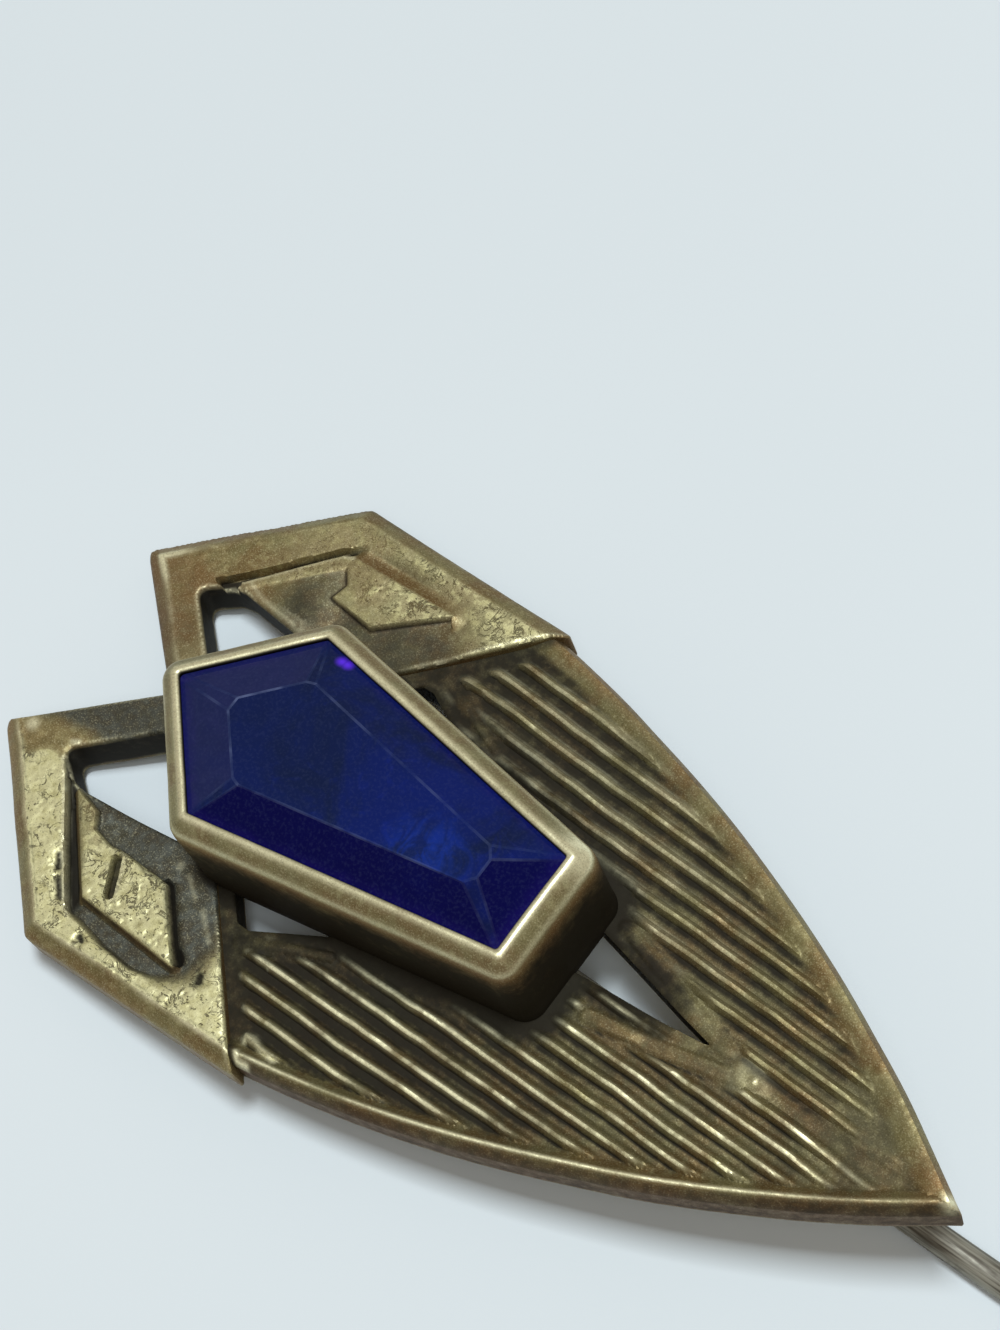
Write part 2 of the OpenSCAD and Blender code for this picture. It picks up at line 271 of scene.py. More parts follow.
def noise(points, scale, seed):
    """Smooth noise from -1 to 1 at points in millimetres, with scale lumps per millimetre."""
    p = np.zeros((len(points), 3))
    p[:, : points.shape[1]] = points
    p *= scale
    cell = np.floor(p).astype(np.int64)
    f = p - cell
    f = f * f * (3.0 - 2.0 * f)
    total = np.zeros(len(p))
    for corner in np.ndindex(2, 2, 2):
        c = cell + corner
        # A number from 0 to 65535 that looks random, from the corner's cell and the seed
        h = (c[:, 0] * 73856093) ^ (c[:, 1] * 19349663) ^ (c[:, 2] * 83492791) ^ (seed * 2654435761)
        h = ((h ^ (h >> 13)) * 1274126177) & 0xFFFFFFFF
        h = (h ^ (h >> 15)) & 0xFFFF
        total += np.prod(np.where(corner, f, 1.0 - f), axis=1) * (h / 32767.5 - 1.0)
    return total


def rough(points, scale, seed):
    """Noise with two finer and weaker layers on top."""
    return sum(noise(points, scale * 2.1**k, seed + k) * 0.5**k for k in range(3)) / 1.75


def noise_along(t, row, scale, seed):
    """Noise along a line, another one for each row."""
    return noise(np.stack([t, t * 0 + row], 1), scale, seed)


# Plan geometry


def x_of(station):
    """The x, measured from the tip, of a station."""
    return station - sizes().length * MM


def in_plan(points, side=1):
    """Stations and distances from the axis on one side, as x from the tip and y."""
    return np.array([(x_of(s), side * a) for s, a in points])


def stations(plan):
    """Stations and distances from the axis of plan points."""
    return np.stack([plan[:, 0] + sizes().length * MM, np.abs(plan[:, 1])], 1)


def legs(path, closed=True):
    """Both ends of each straight leg of a path."""
    path = np.asarray(path, float)
    return list(zip(path, np.roll(path, -1, axis=0) if closed else path[1:]))


def distance(points, path, closed=False):
    """Distance of each point to a path."""
    best = np.full(len(points), 1e9)
    for a, b in legs(path, closed):
        d = b - a
        length = np.linalg.norm(d)
        t = np.clip((points - a) @ d / (length * length), 0.0, 1.0)
        best = np.minimum(best, np.linalg.norm(points - a - t[:, None] * d, axis=1))
    return best


def inside(points, loop):
    """True for the points within a closed loop."""
    x, y = points[:, 0], points[:, 1]
    hit = np.zeros(len(points), bool)
    for (ax, ay), (bx, by) in legs(loop):
        if ay != by:
            hit ^= ((ay > y) != (by > y)) & (x < (bx - ax) * (y - ay) / (by - ay) + ax)
    return hit


def depth_in(points, loop):
    """Distance in from a closed loop, negative outside it."""
    gap = distance(points, loop, closed=True)
    return np.where(inside(points, loop), gap, -gap)


def plan_depth(points, loops):
    """Distance in from the nearest edge of a plan: its outer loop and those of its holes."""
    gaps = [depth_in(points, loops[0])] + [-depth_in(points, hole) for hole in loops[1:]]
    return reduce(np.minimum, gaps)


def turned(loop, left=True):
    """The loop anticlockwise, or clockwise if left is false."""
    x, y = loop[:, 0], loop[:, 1]
    area = np.sum(x * np.roll(y, -1) - np.roll(x, -1) * y)
    return loop if (area > 0) == left else loop[::-1]


def rounded(loop, radius, steps=7):
    """The loop with its corners turned. radius is one number, or one for each corner."""
    out = []
    neighbours = np.roll(loop, 1, axis=0), loop, np.roll(loop, -1, axis=0)
    for before, p, after, r in zip(*neighbours, np.broadcast_to(radius, len(loop))):
        a, b = unit(before - p), unit(after - p)
        half = math.acos(np.clip(a @ b, -1, 1)) / 2
        # An arc takes less than half of the shorter side
        room = 0.45 * min(np.linalg.norm(before - p), np.linalg.norm(after - p))
        cut = min(r / math.tan(half), room)
        start, end = p + a * cut, p + b * cut
        for t in np.linspace(0, 1, steps):
            out.append((1 - t) ** 2 * start + 2 * t * (1 - t) * p + t * t * end)
    return np.array(out)


def spaced(path, step):
    """Points on an open path at most step apart, its corners among them."""
    out = []
    for a, b in legs(path, closed=False):
        n = max(1, math.ceil(np.linalg.norm(b - a) / step))
        out += [a + (b - a) * k / n for k in range(n)]
    return np.array(out + [np.asarray(path[-1], float)])


def evened(loop, step):
    """The closed loop as points an equal distance apart, about step."""
    ring = np.vstack([loop, loop[:1]])
    run = np.concatenate([[0], np.cumsum(np.linalg.norm(np.diff(ring, axis=0), axis=1))])
    n = max(8, round(run[-1] / step))
    at = np.arange(n) * run[-1] / n
    return np.stack([np.interp(at, run, ring[:, 0]), np.interp(at, run, ring[:, 1])], 1)


def reach(way, loop):
    """How far it is from the origin, in one direction, to a loop round it."""
    best = 0.0
    for p, q in legs(loop):
        d = q - p
        det = way[1] * d[0] - way[0] * d[1]
        if abs(det) < 1e-9:
            continue
        t = (p[1] * d[0] - p[0] * d[1]) / det
        u = (way[0] * p[1] - way[1] * p[0]) / det
        if t > 0 and -1e-6 <= u <= 1 + 1e-6:
            best = max(best, t)
    return best


def moved(path, ways, gap):
    """The path moved to the left of these directions by gap."""
    return path + across(ways / np.linalg.norm(ways, axis=1)[:, None]) * gap


def drawn_in(loop, gap):
    """The loop moved to its left by gap."""
    return moved(loop, np.roll(loop, -1, axis=0) - np.roll(loop, 1, axis=0), gap)


def beside(path, gap):
    """An open path moved to its left by gap."""
    return moved(path, np.gradient(path, axis=0), gap)


def clear_of(points, others, gap):
    """True for the points with none of the others within about gap."""
    cell = gap / 2
    low = np.minimum(points.min(0), others.min(0)) - 4 * cell
    high = np.maximum(points.max(0), others.max(0)) + 4 * cell
    taken = np.zeros(np.ceil((high - low) / cell).astype(int) + 1, bool)
    at = np.floor((others - low) / cell).astype(int)
    for i in range(-2, 3):
        for j in range(-2, 3):
            if i * i + j * j <= 5:
                taken[at[:, 0] + i, at[:, 1] + j] = True
    at = np.floor((points - low) / cell).astype(int)
    return ~taken[at[:, 0], at[:, 1]]


def thinned(points, gap):
    """One point for each square of side gap."""
    key = np.round(points / gap).astype(np.int64)
    _, first = np.unique(key, axis=0, return_index=True)
    return points[np.sort(first)]


def plan_points(loops, sparse, creases, step, seed):
    """The loops' points, then points on the creases and over the rest of the plan.

    The shares of a step are the least gaps that keep the triangles well shaped.
    """
    edge = np.vstack(loops)
    parts = [edge]
    if len(creases):
        lines = thinned(np.vstack(creases), step * 0.55)
        lines = lines[clear_of(lines, edge, step * 0.5)]
        parts.append(lines[plan_depth(lines, sparse) > step * 0.2])
    low, high = edge.min(0), edge.max(0)
    xs = np.arange(low[0], high[0], step)
    ys = np.arange(low[1], high[1], step * 0.87)
    grid = np.stack(np.meshgrid(xs, ys, indexing="ij"), -1)
    grid[:, ::2, 0] += step / 2
    grid = grid.reshape(-1, 2)
    grid += np.random.default_rng(seed).uniform(-0.08, 0.08, grid.shape) * step
    grid = grid[clear_of(grid, np.vstack(parts), step * 0.75)]
    parts.append(grid[plan_depth(grid, sparse) > step * 0.3])
    return np.vstack(parts)


def triangles(points, loops, sparse):
    """Triangles between plan points, within the first loop and outside the others.

    The loops' points come first.
    """
    edges, start = [], 0
    for loop in loops:
        n = len(loop)
        edges += [(start + k, start + (k + 1) % n) for k in range(n)]
        start += n
    made = delaunay_2d_cdt([Vector(p) for p in points.tolist()], edges, [], 1, 1e-7)
    if len(made[0]) != len(points):
        raise RuntimeError(f"the plan has {len(points)} points, but {len(made[0])} came back")
    tris = np.array(made[2])
    middle = points[tris].mean(axis=1)
    keep = inside(middle, sparse[0])
    for hole in sparse[1:]:
        keep &= ~inside(middle, hole)
    return tris[keep]


# Meshes


def sizes():
    return bpy.context.scene.pin_head


def in_row(points):
    """Points of the head in millimetres, in the row frame in metres."""
    p = np.asarray(points, float)
    head = sizes()
    cos, sin = math.cos(head.rise), math.sin(head.rise)
    lift_x = head.length * MM * cos - bpy.context.scene.pin_stem.overall * MM / 2
    lift_z = head.length * MM * sin + head.plate * MM * cos
    x = p[:, 0] * cos - p[:, 2] * sin + lift_x
    z = p[:, 0] * sin + p[:, 2] * cos + lift_z
    return np.stack([x, p[:, 1], z], 1) / MM


def put(name, data):
    """A new object, linked to the scene."""
    made = bpy.data.objects.new(name, data)
    bpy.context.scene.collection.objects.link(made)
    return made


def piece(name, points, faces, looks, material, node, sharp=40.0):
    """A closed mesh piece of the pin that stands for a CAD node.

    Each look is one number, or one for each point or each face.
    """
    old = bpy.data.objects.get(name)
    if old is not None:
        bpy.data.objects.remove(old)
    mesh = bpy.data.meshes.new(name)
    # Nothing goes below the ground
    points = np.column_stack([points[:, :2], np.maximum(points[:, 2], 0)])
    mesh.from_pydata(points.tolist(), [], faces if isinstance(faces, list) else faces.tolist())
    if mesh.validate(verbose=False):
        raise RuntimeError(f"{name} has faces that aren't valid")
    for key, look in looks.items():
        kind = "FACE" if np.ndim(look) and len(look) == len(faces) else "POINT"
        values = np.broadcast_to(look, len(faces if kind == "FACE" else points)).astype(np.float32)
        mesh.attributes.new(key, "FLOAT", kind).data.foreach_set("value", np.clip(values, 0, 1))
    mesh.shade_smooth()
    mesh.set_sharp_from_angle(angle=math.radians(sharp))
    mesh.materials.append(material)
    made = put(name, mesh)
    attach(made, "root")
    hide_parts(node)


def uneven(points):
    """The slow wander of a hand-finished casting, in millimetres."""
    wander = np.stack([noise(points[:, :2], 0.45, 3 + k) for k in range(3)], 1)
    return wander * (sizes().uneven * MM) * np.array([1.0, 1.0, 0.5])


def eased(z, edge, radius):
    """Heights with the plate's edge turned through a quarter circle."""
    drop = radius - np.sqrt(np.maximum(radius**2 - (radius - edge) ** 2, 0))
    return z - np.where(edge < radius, drop, 0)


def plate(name, outer, holes, creases, coarse, top, bottom, edge_look, hole_look, seed):
    """A closed plate of the head: a finely sculpted top, walls round every loop and a plain back.

    coarse is the top's mesh step, as a multiple of the size's. top gives heights and looks from
    plan points and their distance from the edge. A wall's look goes from its first number by the
    top to its second by the back.
    """
    step = sizes().mesh_step * MM * coarse
    sparse = [turned(outer)] + [turned(h, False) for h in holes]
    loops = [evened(s, step * 0.9) for s in sparse]
    rim = np.vstack(loops)
    lines = [drawn_in(loop, gap) for loop in loops for gap in EDGE_ROWS]
    lines += [spaced(c, step * 0.9) for c in creases]
    plan = plan_points(loops, sparse, lines, step, seed)
    height, looks = top(plan, np.maximum(plan_depth(plan, sparse), 0))
    blocks = [np.column_stack([plan, height])]
    shares = {k: [np.broadcast_to(looks.get(k, 0.0), len(plan))] for k in LOOKS}
    faces = [triangles(plan, loops, sparse)]
    for level in WALL_LEVELS:
        high = height[: len(rim)]
        blocks.append(np.column_stack([rim, high + (bottom - high) * level]))
        for k in LOOKS:
            for loop, wall in zip(loops, [edge_look] + [hole_look] * len(holes)):
                first, last = wall.get(k, (0.0, 0.0))
                shares[k].append(np.full(len(loop), first + (last - first) * level))
    back = plan_points(loops, sparse, [], step * BACK_STEP, seed + 1)
    blocks.append(np.column_stack([back, bottom + 0.012 * rough(back, 1.2, seed + 2)]))
    for k in LOOKS:
        shares[k].append(np.full(len(back), BACK_LOOK.get(k, 0.0)))
    # The rim's points come first in the top, in every level and in the back
    rims = [0] + [len(plan) + n * len(rim) for n in range(len(WALL_LEVELS) + 1)]
    start = 0
    for loop in loops:
        k = start + np.arange(len(loop))
        j = start + (np.arange(len(loop)) + 1) % len(loop)
        for upper, lower in zip(rims[:-1], rims[1:]):
            faces += [
                np.stack([upper + k, lower + k, lower + j], 1),
                np.stack([upper + k, lower + j, upper + j], 1),
            ]
        start += len(loop)
    faces.append(triangles(back, loops, sparse)[:, ::-1] + rims[-1])
    points = np.vstack(blocks)
    looks = {k: np.concatenate(v) for k, v in shares.items()}
    piece(name, in_row(points + uneven(points)), np.vstack(faces), looks, cast_metal(), "head")


def ring_solid(rings):
    """Points and faces of a closed solid through rings of equally many points.

    Each ring is anticlockwise, seen from the next one.
    """
    n, last = len(rings[0]), (len(rings) - 1) * len(rings[0])
    faces = []
    for low in range(0, last, n):
        for k in range(n):
            j = (k + 1) % n
            faces.append((low + k, low + j, low + n + j, low + n + k))
    faces += [tuple(range(n))[::-1], tuple(range(last, last + n))]
    return np.vstack(rings), faces


def at_height(ring, z):
    return np.column_stack([ring, np.full(len(ring), z)])


def around_wire(x, ring, height):
    """A ring across the wire at x, its middle at this height."""
    return np.column_stack([np.full(len(ring), x), ring[:, 0], ring[:, 1] + height])


def circle(count):
    """Points of a circle of radius 1."""
    angles = np.arange(count) * 2 * math.pi / count
    return np.stack([np.cos(angles), np.sin(angles)], 1)


# The shield


def arc_side(side):
    """Centre and radius of the shield's curved side."""
    top = np.array([x_of(SHIELD_STATION), SHIELD_HALF])
    chord = np.linalg.norm(top)
    radius = chord * chord / (8 * SHIELD_BULGE) + SHIELD_BULGE / 2
    centre = top / 2 + unit(across(top)) * (radius - SHIELD_BULGE)
    return centre * np.array([1, side]), radius


def arc_line(x, side, gap=0.0):
    """The shield's curved side at these x, moved in by gap."""
    centre, radius = arc_side(side)
    return np.stack([x, centre[1] + side * np.sqrt((radius - gap) ** 2 - (x - centre[0]) ** 2)], 1)


def from_curve(points):
    """Distance in from the shield's nearer curved side."""
    return np.minimum(*[radius - away(points, centre) for centre, radius in map(arc_side, SIDES)])


def from_wings(plan):
    """Distance out from the wings' lower edges."""
    st, a = stations(plan).T
    return (st - WING_END - a) / math.sqrt(2)


def from_bezel(plan):
    """Distance out from the bezel's wall."""
    return -depth_in(plan, stone_outline()) - BEZEL_WALL


def low_hole():
    return turned(in_plan(LOW_HOLE))


def shield_holes():
    holes = [rounded(turned(in_plan(SIDE_HOLE, side)), SIDE_HOLE_RADIUS) for side in SIDES]
    return holes + [rounded(low_hole(), LOW_HOLE_RADIUS)]


def shield_outline():
    start = x_of(WING_END) - SHIELD_TUCK
    arc = arc_line(-SHIELD_REACH * np.linspace(0, 1, 60), 1)
    half = arc[arc[:, 0] > start + arc[:, 1]]
    # Both ends are drawn in a little, so the tip and the hidden corner aren't sharp
    side = half[-1, 1]
    upper = np.vstack([[(-0.02, 0.03)], half[1:], [(start + side - 0.02, side - 0.02)]])
    return np.vstack([upper, [(start, 0.0)], upper[::-1] * np.array([1, -1])])


def rib_lines(side):
    """Start, direction and number of each rib on one side."""
    first, count = RIBS[side]
    for i in range(count):
        turn = math.radians(-RIB_TURN - side * i * RIB_FAN)
        start = np.array([x_of(RIB_STATION), side * (first + i * sizes().rib_pitch * MM)])
        yield start, np.array([math.cos(turn), math.sin(turn)]), i


def rib_wobble(t, i):
    """How far rib i wanders to one side, along its length."""
    return 0.03 * noise_along(t, i, 0.6, 5) + 0.012 * noise_along(t, i, 2.2, 6)


def rib_share(plan, side):
    """How much of its height a rib keeps.

    It has none beside the bezel, the bars, the openings and the wings, and little near the tip.
    """
    x = plan[:, 0]
    share = ramp(0.35, 0.7, from_wings(plan))
    share = share * ramp(0.85, 1.5 if side < 0 else 1.25, -depth_in(plan, stone_outline()))
    for ends, width in BARS:
        share = share * ramp(width / 2 - 0.02, width / 2 + 0.3, distance(plan, in_plan(ends)))
    for loop in shield_holes():
        share = share * ramp(0.05, 0.4, -depth_in(plan, loop))
    share = share * ramp(*((0.46, 0.74) if side < 0 else (0.28, 0.85)), from_curve(plan))
    return share * (1 - 0.75 * ramp(-4.6, -2.6, x)) * ramp(-0.6, -1.4, x)


def with_ribs(plan, rise):
    """A height with the ribs laid over it, their crests' wear and painted highlight, and the
    painted shade and patina on their flanks.

    The last value is how near the tip each point is: 0 by the wings and 1 by the tip.
    """
    x, y = plan[:, 0], plan[:, 1]
    curve = from_curve(plan)
    far = ramp(-15.5, -8.0, x)
    wear_and_highlight, flank_shade_and_patina = np.zeros(len(plan)), np.zeros(len(plan))
    grain = 0.3 * noise(plan, 7, 19)
    for side in SIDES:
        share = rib_share(plan, side)
        for start, along, i in rib_lines(side):
            t = (plan - start) @ along
            # Distance from the rib's crest, positive towards the lit side
            u = (plan - start) @ across(along)
            near = (np.abs(u) < 0.5) & (y * side > 0.05)
            if not near.any():
                continue
            u = u + side * rib_wobble(t, i)
            flank = np.abs(np.where(u > 0, u / 1.5, u))
            lumps = 1 + 0.22 * noise_along(t, i * 3, 1.3, 9)
            h = (1 - ramp(0.03, 0.17, flank)) * sizes().rib_height * MM * share * lumps
            rise = np.where(near, np.maximum(rise, h), rise)
            speck = 0.7 + 0.7 * noise_along(t, i * 7, 1.9, 17) + grain
            # Crests: wear and painted highlight. Flanks away from the light: painted shade and
            # patina.
            if side < 0:
                crest = hill(u - 0.015, 0.062) * np.clip(speck, 0.08, 1.2)
                crest = crest * (1 - 0.3 * far) * ramp(0.45, 0.85, curve)
                end = 0.44 - 0.14 * far
                shade = ramp(0.075, 0.14, -u) * (1 - ramp(end - 0.14, end, -u))
                shade = shade + (1 - far) * 0.55 * ramp(0.14, 0.26, u)
            else:
                crest = 0.3 * (1 - ramp(0.04, 0.2, np.abs(u - 0.07))) * np.clip(speck, 0.15, 1.2)
                crest = crest * (1 - 0.8 * ramp(-10.5, -7, x))
                shade = ramp(0.06, 0.14, -u) * (1 - ramp(0.26, 0.4, -u))
                shade = shade + (1 - far) * 0.3 * ramp(0.24, 0.36, u)
            wear_and_highlight = np.where(near, np.maximum(wear_and_highlight, crest * share), wear_and_highlight)
            flank_shade_and_patina = np.where(near, np.maximum(flank_shade_and_patina, shade * share), flank_shade_and_patina)
    return rise, wear_and_highlight, flank_shade_and_patina, far


def shield_top(plan, edge):
    head = sizes()
    rib_height = head.rib_height * MM
    x, y = plan[:, 0], plan[:, 1]
    gilt_side, olive_side = y < 0, y > 0
    curve = from_curve(plan)
    border = np.interp(curve, *np.array(BORDER).T)
    smooth = ramp(0.0, 0.16, curve) * (0.3 + 0.7 * (1 - ramp(0.2, 0.95, curve)))
    rise = np.where(gilt_side, border, 0.8 * smooth - 0.1) * head.border_height * MM
    rise, wear_and_highlight, flank_shade_and_patina, far = with_ribs(plan, rise)
    # Bars, and the dark line round each
    rims, bars = np.zeros(len(plan)), np.zeros(len(plan))
    for ends, width in BARS:
        gap = distance(plan, in_plan(ends))
        h = (1 - ramp(width * 0.36, width * 0.66, gap)) * rib_height * 0.42
        rise = np.maximum(rise, h * (0.8 + 0.4 * noise(plan, 1.6, 33)))
        bars = np.maximum(bars, 1 - ramp(width * 0.36, width * 0.7, gap))
        rims = np.maximum(rims, hill(gap - width * 0.72, 0.07) * (0.6 + 0.5 * noise(plan, 1.1, 35)))
    # The boss, with a small knob on it
    (middle,) = in_plan([BOSS])
    gap = away(plan, middle) + 0.12 * noise(plan, 1.6, 37)
    rise = np.maximum(rise, (1 - ramp(0.15, 0.75, gap)) * rib_height * 0.5)
    boss = hill(gap, 0.5)
    knob = away(plan, middle + np.array([0.3, -0.1]))
    rise = rise + hill(knob, 0.13) * 0.05
    # Worn bright, partly painted highlight: the boss and its knob, the border's crest on the gilt
    # side and the tip; and a scratched place by the wing
    streak = np.clip(0.8 + 0.6 * noise(plan, 0.8, 31), 0, 1)
    crest = hill(curve - BORDER_CREST, 0.045) * gilt_side * streak
    crest = crest * ramp(-18, -17.0, x) * (1 - 0.7 * ramp(-4.5, -2.5, x))
    tip = hill(away(plan, (-0.34, 0.1)), 0.2)
    wear_and_highlight = most(wear_and_highlight, boss * 0.12, hill(knob, 0.08) * 0.5, crest, tip)
    for path in SCRATCHES:
        gap = distance(plan, in_plan(path))
        wear_and_highlight = np.maximum(wear_and_highlight, hill(gap, 0.075))
        rise = rise + hill(gap, 0.1) * 0.06
    # Patina, and painted shade by the bezel's foot, by the wings' lower edges and beside the ribs
    bezel = from_bezel(plan)
    dark = 0.42 + 0.1 * noise(plan, 0.7, 39) - 0.45 * boss - 0.16 * bars
    dark = dark - 0.12 * ramp(-14, -6, x) - 0.12 * ramp(1.3, 0.2, curve) * olive_side
    dark = most(
        dark,
        (0.8 - 0.3 * far) * (1 - ramp(0.05, 0.22, rise)) * (curve > 0.55),
        rims * 0.85,
        flank_shade_and_patina * np.where(gilt_side, 1.0, 0.9) * (1 - 0.35 * ramp(-7, -2, x)),
        1 - ramp(0.2, 1.5, bezel),
        (1 - ramp(0.3, 1.0, -depth_in(plan, low_hole()))) * (1 - ramp(-9.5, -7.0, x)) * 0.9,
        (1 - ramp(0.05, 0.6, from_wings(plan))) * np.where(gilt_side, 0.85, 0.65),
        ramp(-13.5, -16.5, x) * ramp(2.2, 1.2, bezel) * 0.7)
    dark = dark + 0.08 * noise(plan, 1.5, 41)
    # Painted shade on the border's outer slope on the gilt side
    outside = 1 - ramp(BORDER_CREST - 0.12, BORDER_CREST - 0.03, curve)
    dark = np.maximum(dark, outside * np.where(gilt_side, 0.62, 0.0)) + 0.06 * ramp(-6, -2, x)
    # Reddish edges, tip and line
    olive = 0.55 * (1 - ramp(0.05, 0.55, curve)) * (0.25 + 0.75 * ramp(-10, -16, x))
    copper = np.where(olive_side, olive, 0.85 * (1 - ramp(0.0, 0.3, curve)))
    copper = copper * (0.6 + 0.5 * noise(plan, 0.5, 51))
    copper = copper + hill(away(plan, (-0.6, 0.0)), 0.8) * 0.55
    copper = copper + hill(distance(plan, in_plan(RED_LINE)), 0.25) * 0.28
    z = -head.floor_drop * MM + rise
    z = z + 0.012 * rough(plan, 2.0, 61) + 0.006 * rough(plan, 8.0, 71)
    return eased(z, edge, SHIELD_EDGE_RADIUS), {"wear_and_highlight": wear_and_highlight, "dark": dark, "copper": copper}


def shield_creases():
    """Lines along the ribs, the border and the bars that the mesh follows."""
    lines = []
    for side in SIDES:
        for start, along, i in rib_lines(side):
            for u in RIB_ROWS:
                middle = start + across(along) * u
                path = spaced([middle - along * 6.5, middle + along * 17], 0.11)
                wobble = rib_wobble((path - start) @ along, i)
                path = path - side * across(along) * wobble[:, None]
                keep = (rib_share(path, side) > 0.02) & (path[:, 1] * side > 0.05)
                if keep.sum() > 2:
                    lines.append(path[keep])
    for side in SIDES:
        for gap in BORDER_ROWS:
            ring = arc_line(18 * np.linspace(0, 1, 400) - 18, side, gap)
            lines.append(ring[ring[:, 1] * side > 0.01])
    for ends, _ in BARS:
        path = spaced(in_plan(ends), 0.1)
        for u in BAR_ROWS:
            lines += [beside(path, u), beside(path, -u)]
    return lines


# The wings


def wing_outline():
    """Both wings as one plan, with a notch between them."""
    loop = np.vstack([in_plan(WING_CORNERS), in_plan(WING_CORNERS[:0:-1], -1)])
    return rounded(loop[::-1], (WING_RADII + WING_RADII[:0:-1])[::-1])


def wing_slots():
    # Turning a loop round turns the order of its radii too
    return [rounded(turned(in_plan(WING_SLOT, side)), WING_SLOT_RADII[::side]) for side in SIDES]


def wing_edges(plan):
    """Distance in from the nearer wing's bevelled sides: by the notch, outer and low."""
    p = np.stack([plan[:, 0], np.abs(plan[:, 1])], 1)
    return [(p - a) @ across(unit(b - a)) for b, a in legs(in_plan(WING_CORNERS[:4]), closed=False)]


def wing_relief(p, side):
    """Height and looks of one wing's block and sunk ground. p holds stations and distances."""
    st, a = p[:, 0], p[:, 1]
    gilt_side = side < 0
    # Distance out from the block, and whether that is from its outer sides
    off = -depth_in(p, BLOCK[side])
    outer = distance(p, BLOCK[side][:BLOCK_OUTER]) < np.abs(off) + 0.01
    by_outer, by_inner = outer & (off > 0), ~outer & (off > 0)
    depth = depth_in(p, SUNK[side]) + 0.02 * noise(p, 2.2, 82)
    # The groove beside the block's outer sides turns into a broad slope at the moat
    groove = 1 - ramp(5.5, 6.1, st)
    moat = (1 - groove) * ramp(5.6, 6.1, a)
    if gilt_side:
        fade = ramp(8.7, 9.9, st)
        soft = 0.025 + 0.07 * (1 - groove) + 0.35 * fade
        wide = np.where(outer, 0.27 * groove + 0.17 * (1 - groove), 0.08)
        beside_block = hill(off - 0.1, 0.1) * (st > 7.5) * (a > 4.3) * by_inner
        deep = 0.2 + 0.24 * groove * (a > 3.6) * by_outer + 0.1 * moat + 0.16 * beside_block
    else:
        fade = ramp(7.5, 10.2, st)
        soft = 0.025 + 0.3 * (1 - groove) + 0.5 * fade
        wide = np.where(outer, 0.13 + 0.3 * (1 - groove), 0.08)
        beside_block = hill(off - 0.07, 0.07) * (st > 5.9) * by_inner * 0.8
        deep = 0.03 + 0.17 * ramp(5.4, 7.2, st) + 0.3 * groove * by_outer + 0.01 * moat
    sunk = ramp(-1, 1, depth / soft)
    z = -sunk * np.clip(off / wide, 0, 1) * deep
    on_block = 1 - ramp(0.0, 0.06, off)
    ground = sunk * (1 - on_block)
    slope = outer * ramp(0.0, 0.05, off) * (1 - ramp(wide * 0.85, wide * 1.1, off)) * sunk
    if gilt_side:
        grey = ground * (1 - slope)
        crust = hill(np.minimum(np.abs(depth - 0.02), np.abs(off + 0.06)), 0.05)
        crust = crust * ramp(-0.1, 0.5, noise(p, 1.9, 87))
        dark = most(
            sunk * groove * outer * ramp(0.13, 0.24, off),
            (0.35 + 0.35 * (1 - groove)) * slope,
            # Painted soft shade in the moat
            0.3 * moat * ground,
            ground * (0.1 + 0.25 * noise(p, 0.8, 86)),
            0.75 * crust * (1 - slope))
        wear_and_highlight = 0.95 * hill(depth + 0.06, 0.045) * groove * ramp(2.2, 2.6, st)
        broken, ragged = 0.8 + 0.5 * noise(p, 3.0, 84), 0.05 * noise(p, 5.0, 85)
        for path, size, share in GILT_WISPS:
            wear_and_highlight = np.maximum(wear_and_highlight, share * hill(distance(p, path), size) * broken)
        for path, size in GILT_HOLES:
            hole = hill(distance(p, path) + ragged, size)
            dark = np.maximum(dark, 1.1 * hole)
            z = z - 0.1 * hole
    else:
        grey = ground * 0.45 * ramp(4.2, 5.6, st) * (1 - slope)
        # The sunk ground is darker round a place beside the block, and below the block's right part
        dark_patch = hill(away(p + 0.12 * noise(p, 1.5, 88)[:, None], (5.45, 4.3)), 0.95)
        below = ramp(6.2, 6.9, st) * ramp(5.9, 5.3, a)
        dark = most(
            sunk * groove * outer * ramp(0.1, 0.15, off) * ramp(0.0, 0.04, depth),
            0.3 * slope,
            ground * (0.14 + np.maximum(0.5 * dark_patch, 0.4 * below)))
        slot_edge = distance(p, OLIVE_SLOT_EDGE)
        wear_and_highlight = np.maximum(
            0.7 * hill(distance(p, OLIVE_BLOCK_EDGE) - 0.02, 0.055),
            0.3 * hill(slot_edge, 0.07) + 0.16 * hill(slot_edge - 0.25, 0.14) * (a < 3.9))
    # A painted red-brown shadow beside the block's inner side, where the ground is also deeper
    dark = np.maximum(dark, beside_block * 0.95)
    copper = 0.3 * slope + 0.5 * beside_block
    return {
        "z": z, "face": np.maximum(on_block, 1 - sunk), "block": on_block,
        "wear_and_highlight": wear_and_highlight, "dark": dark, "grey": grey, "copper": copper,
    }


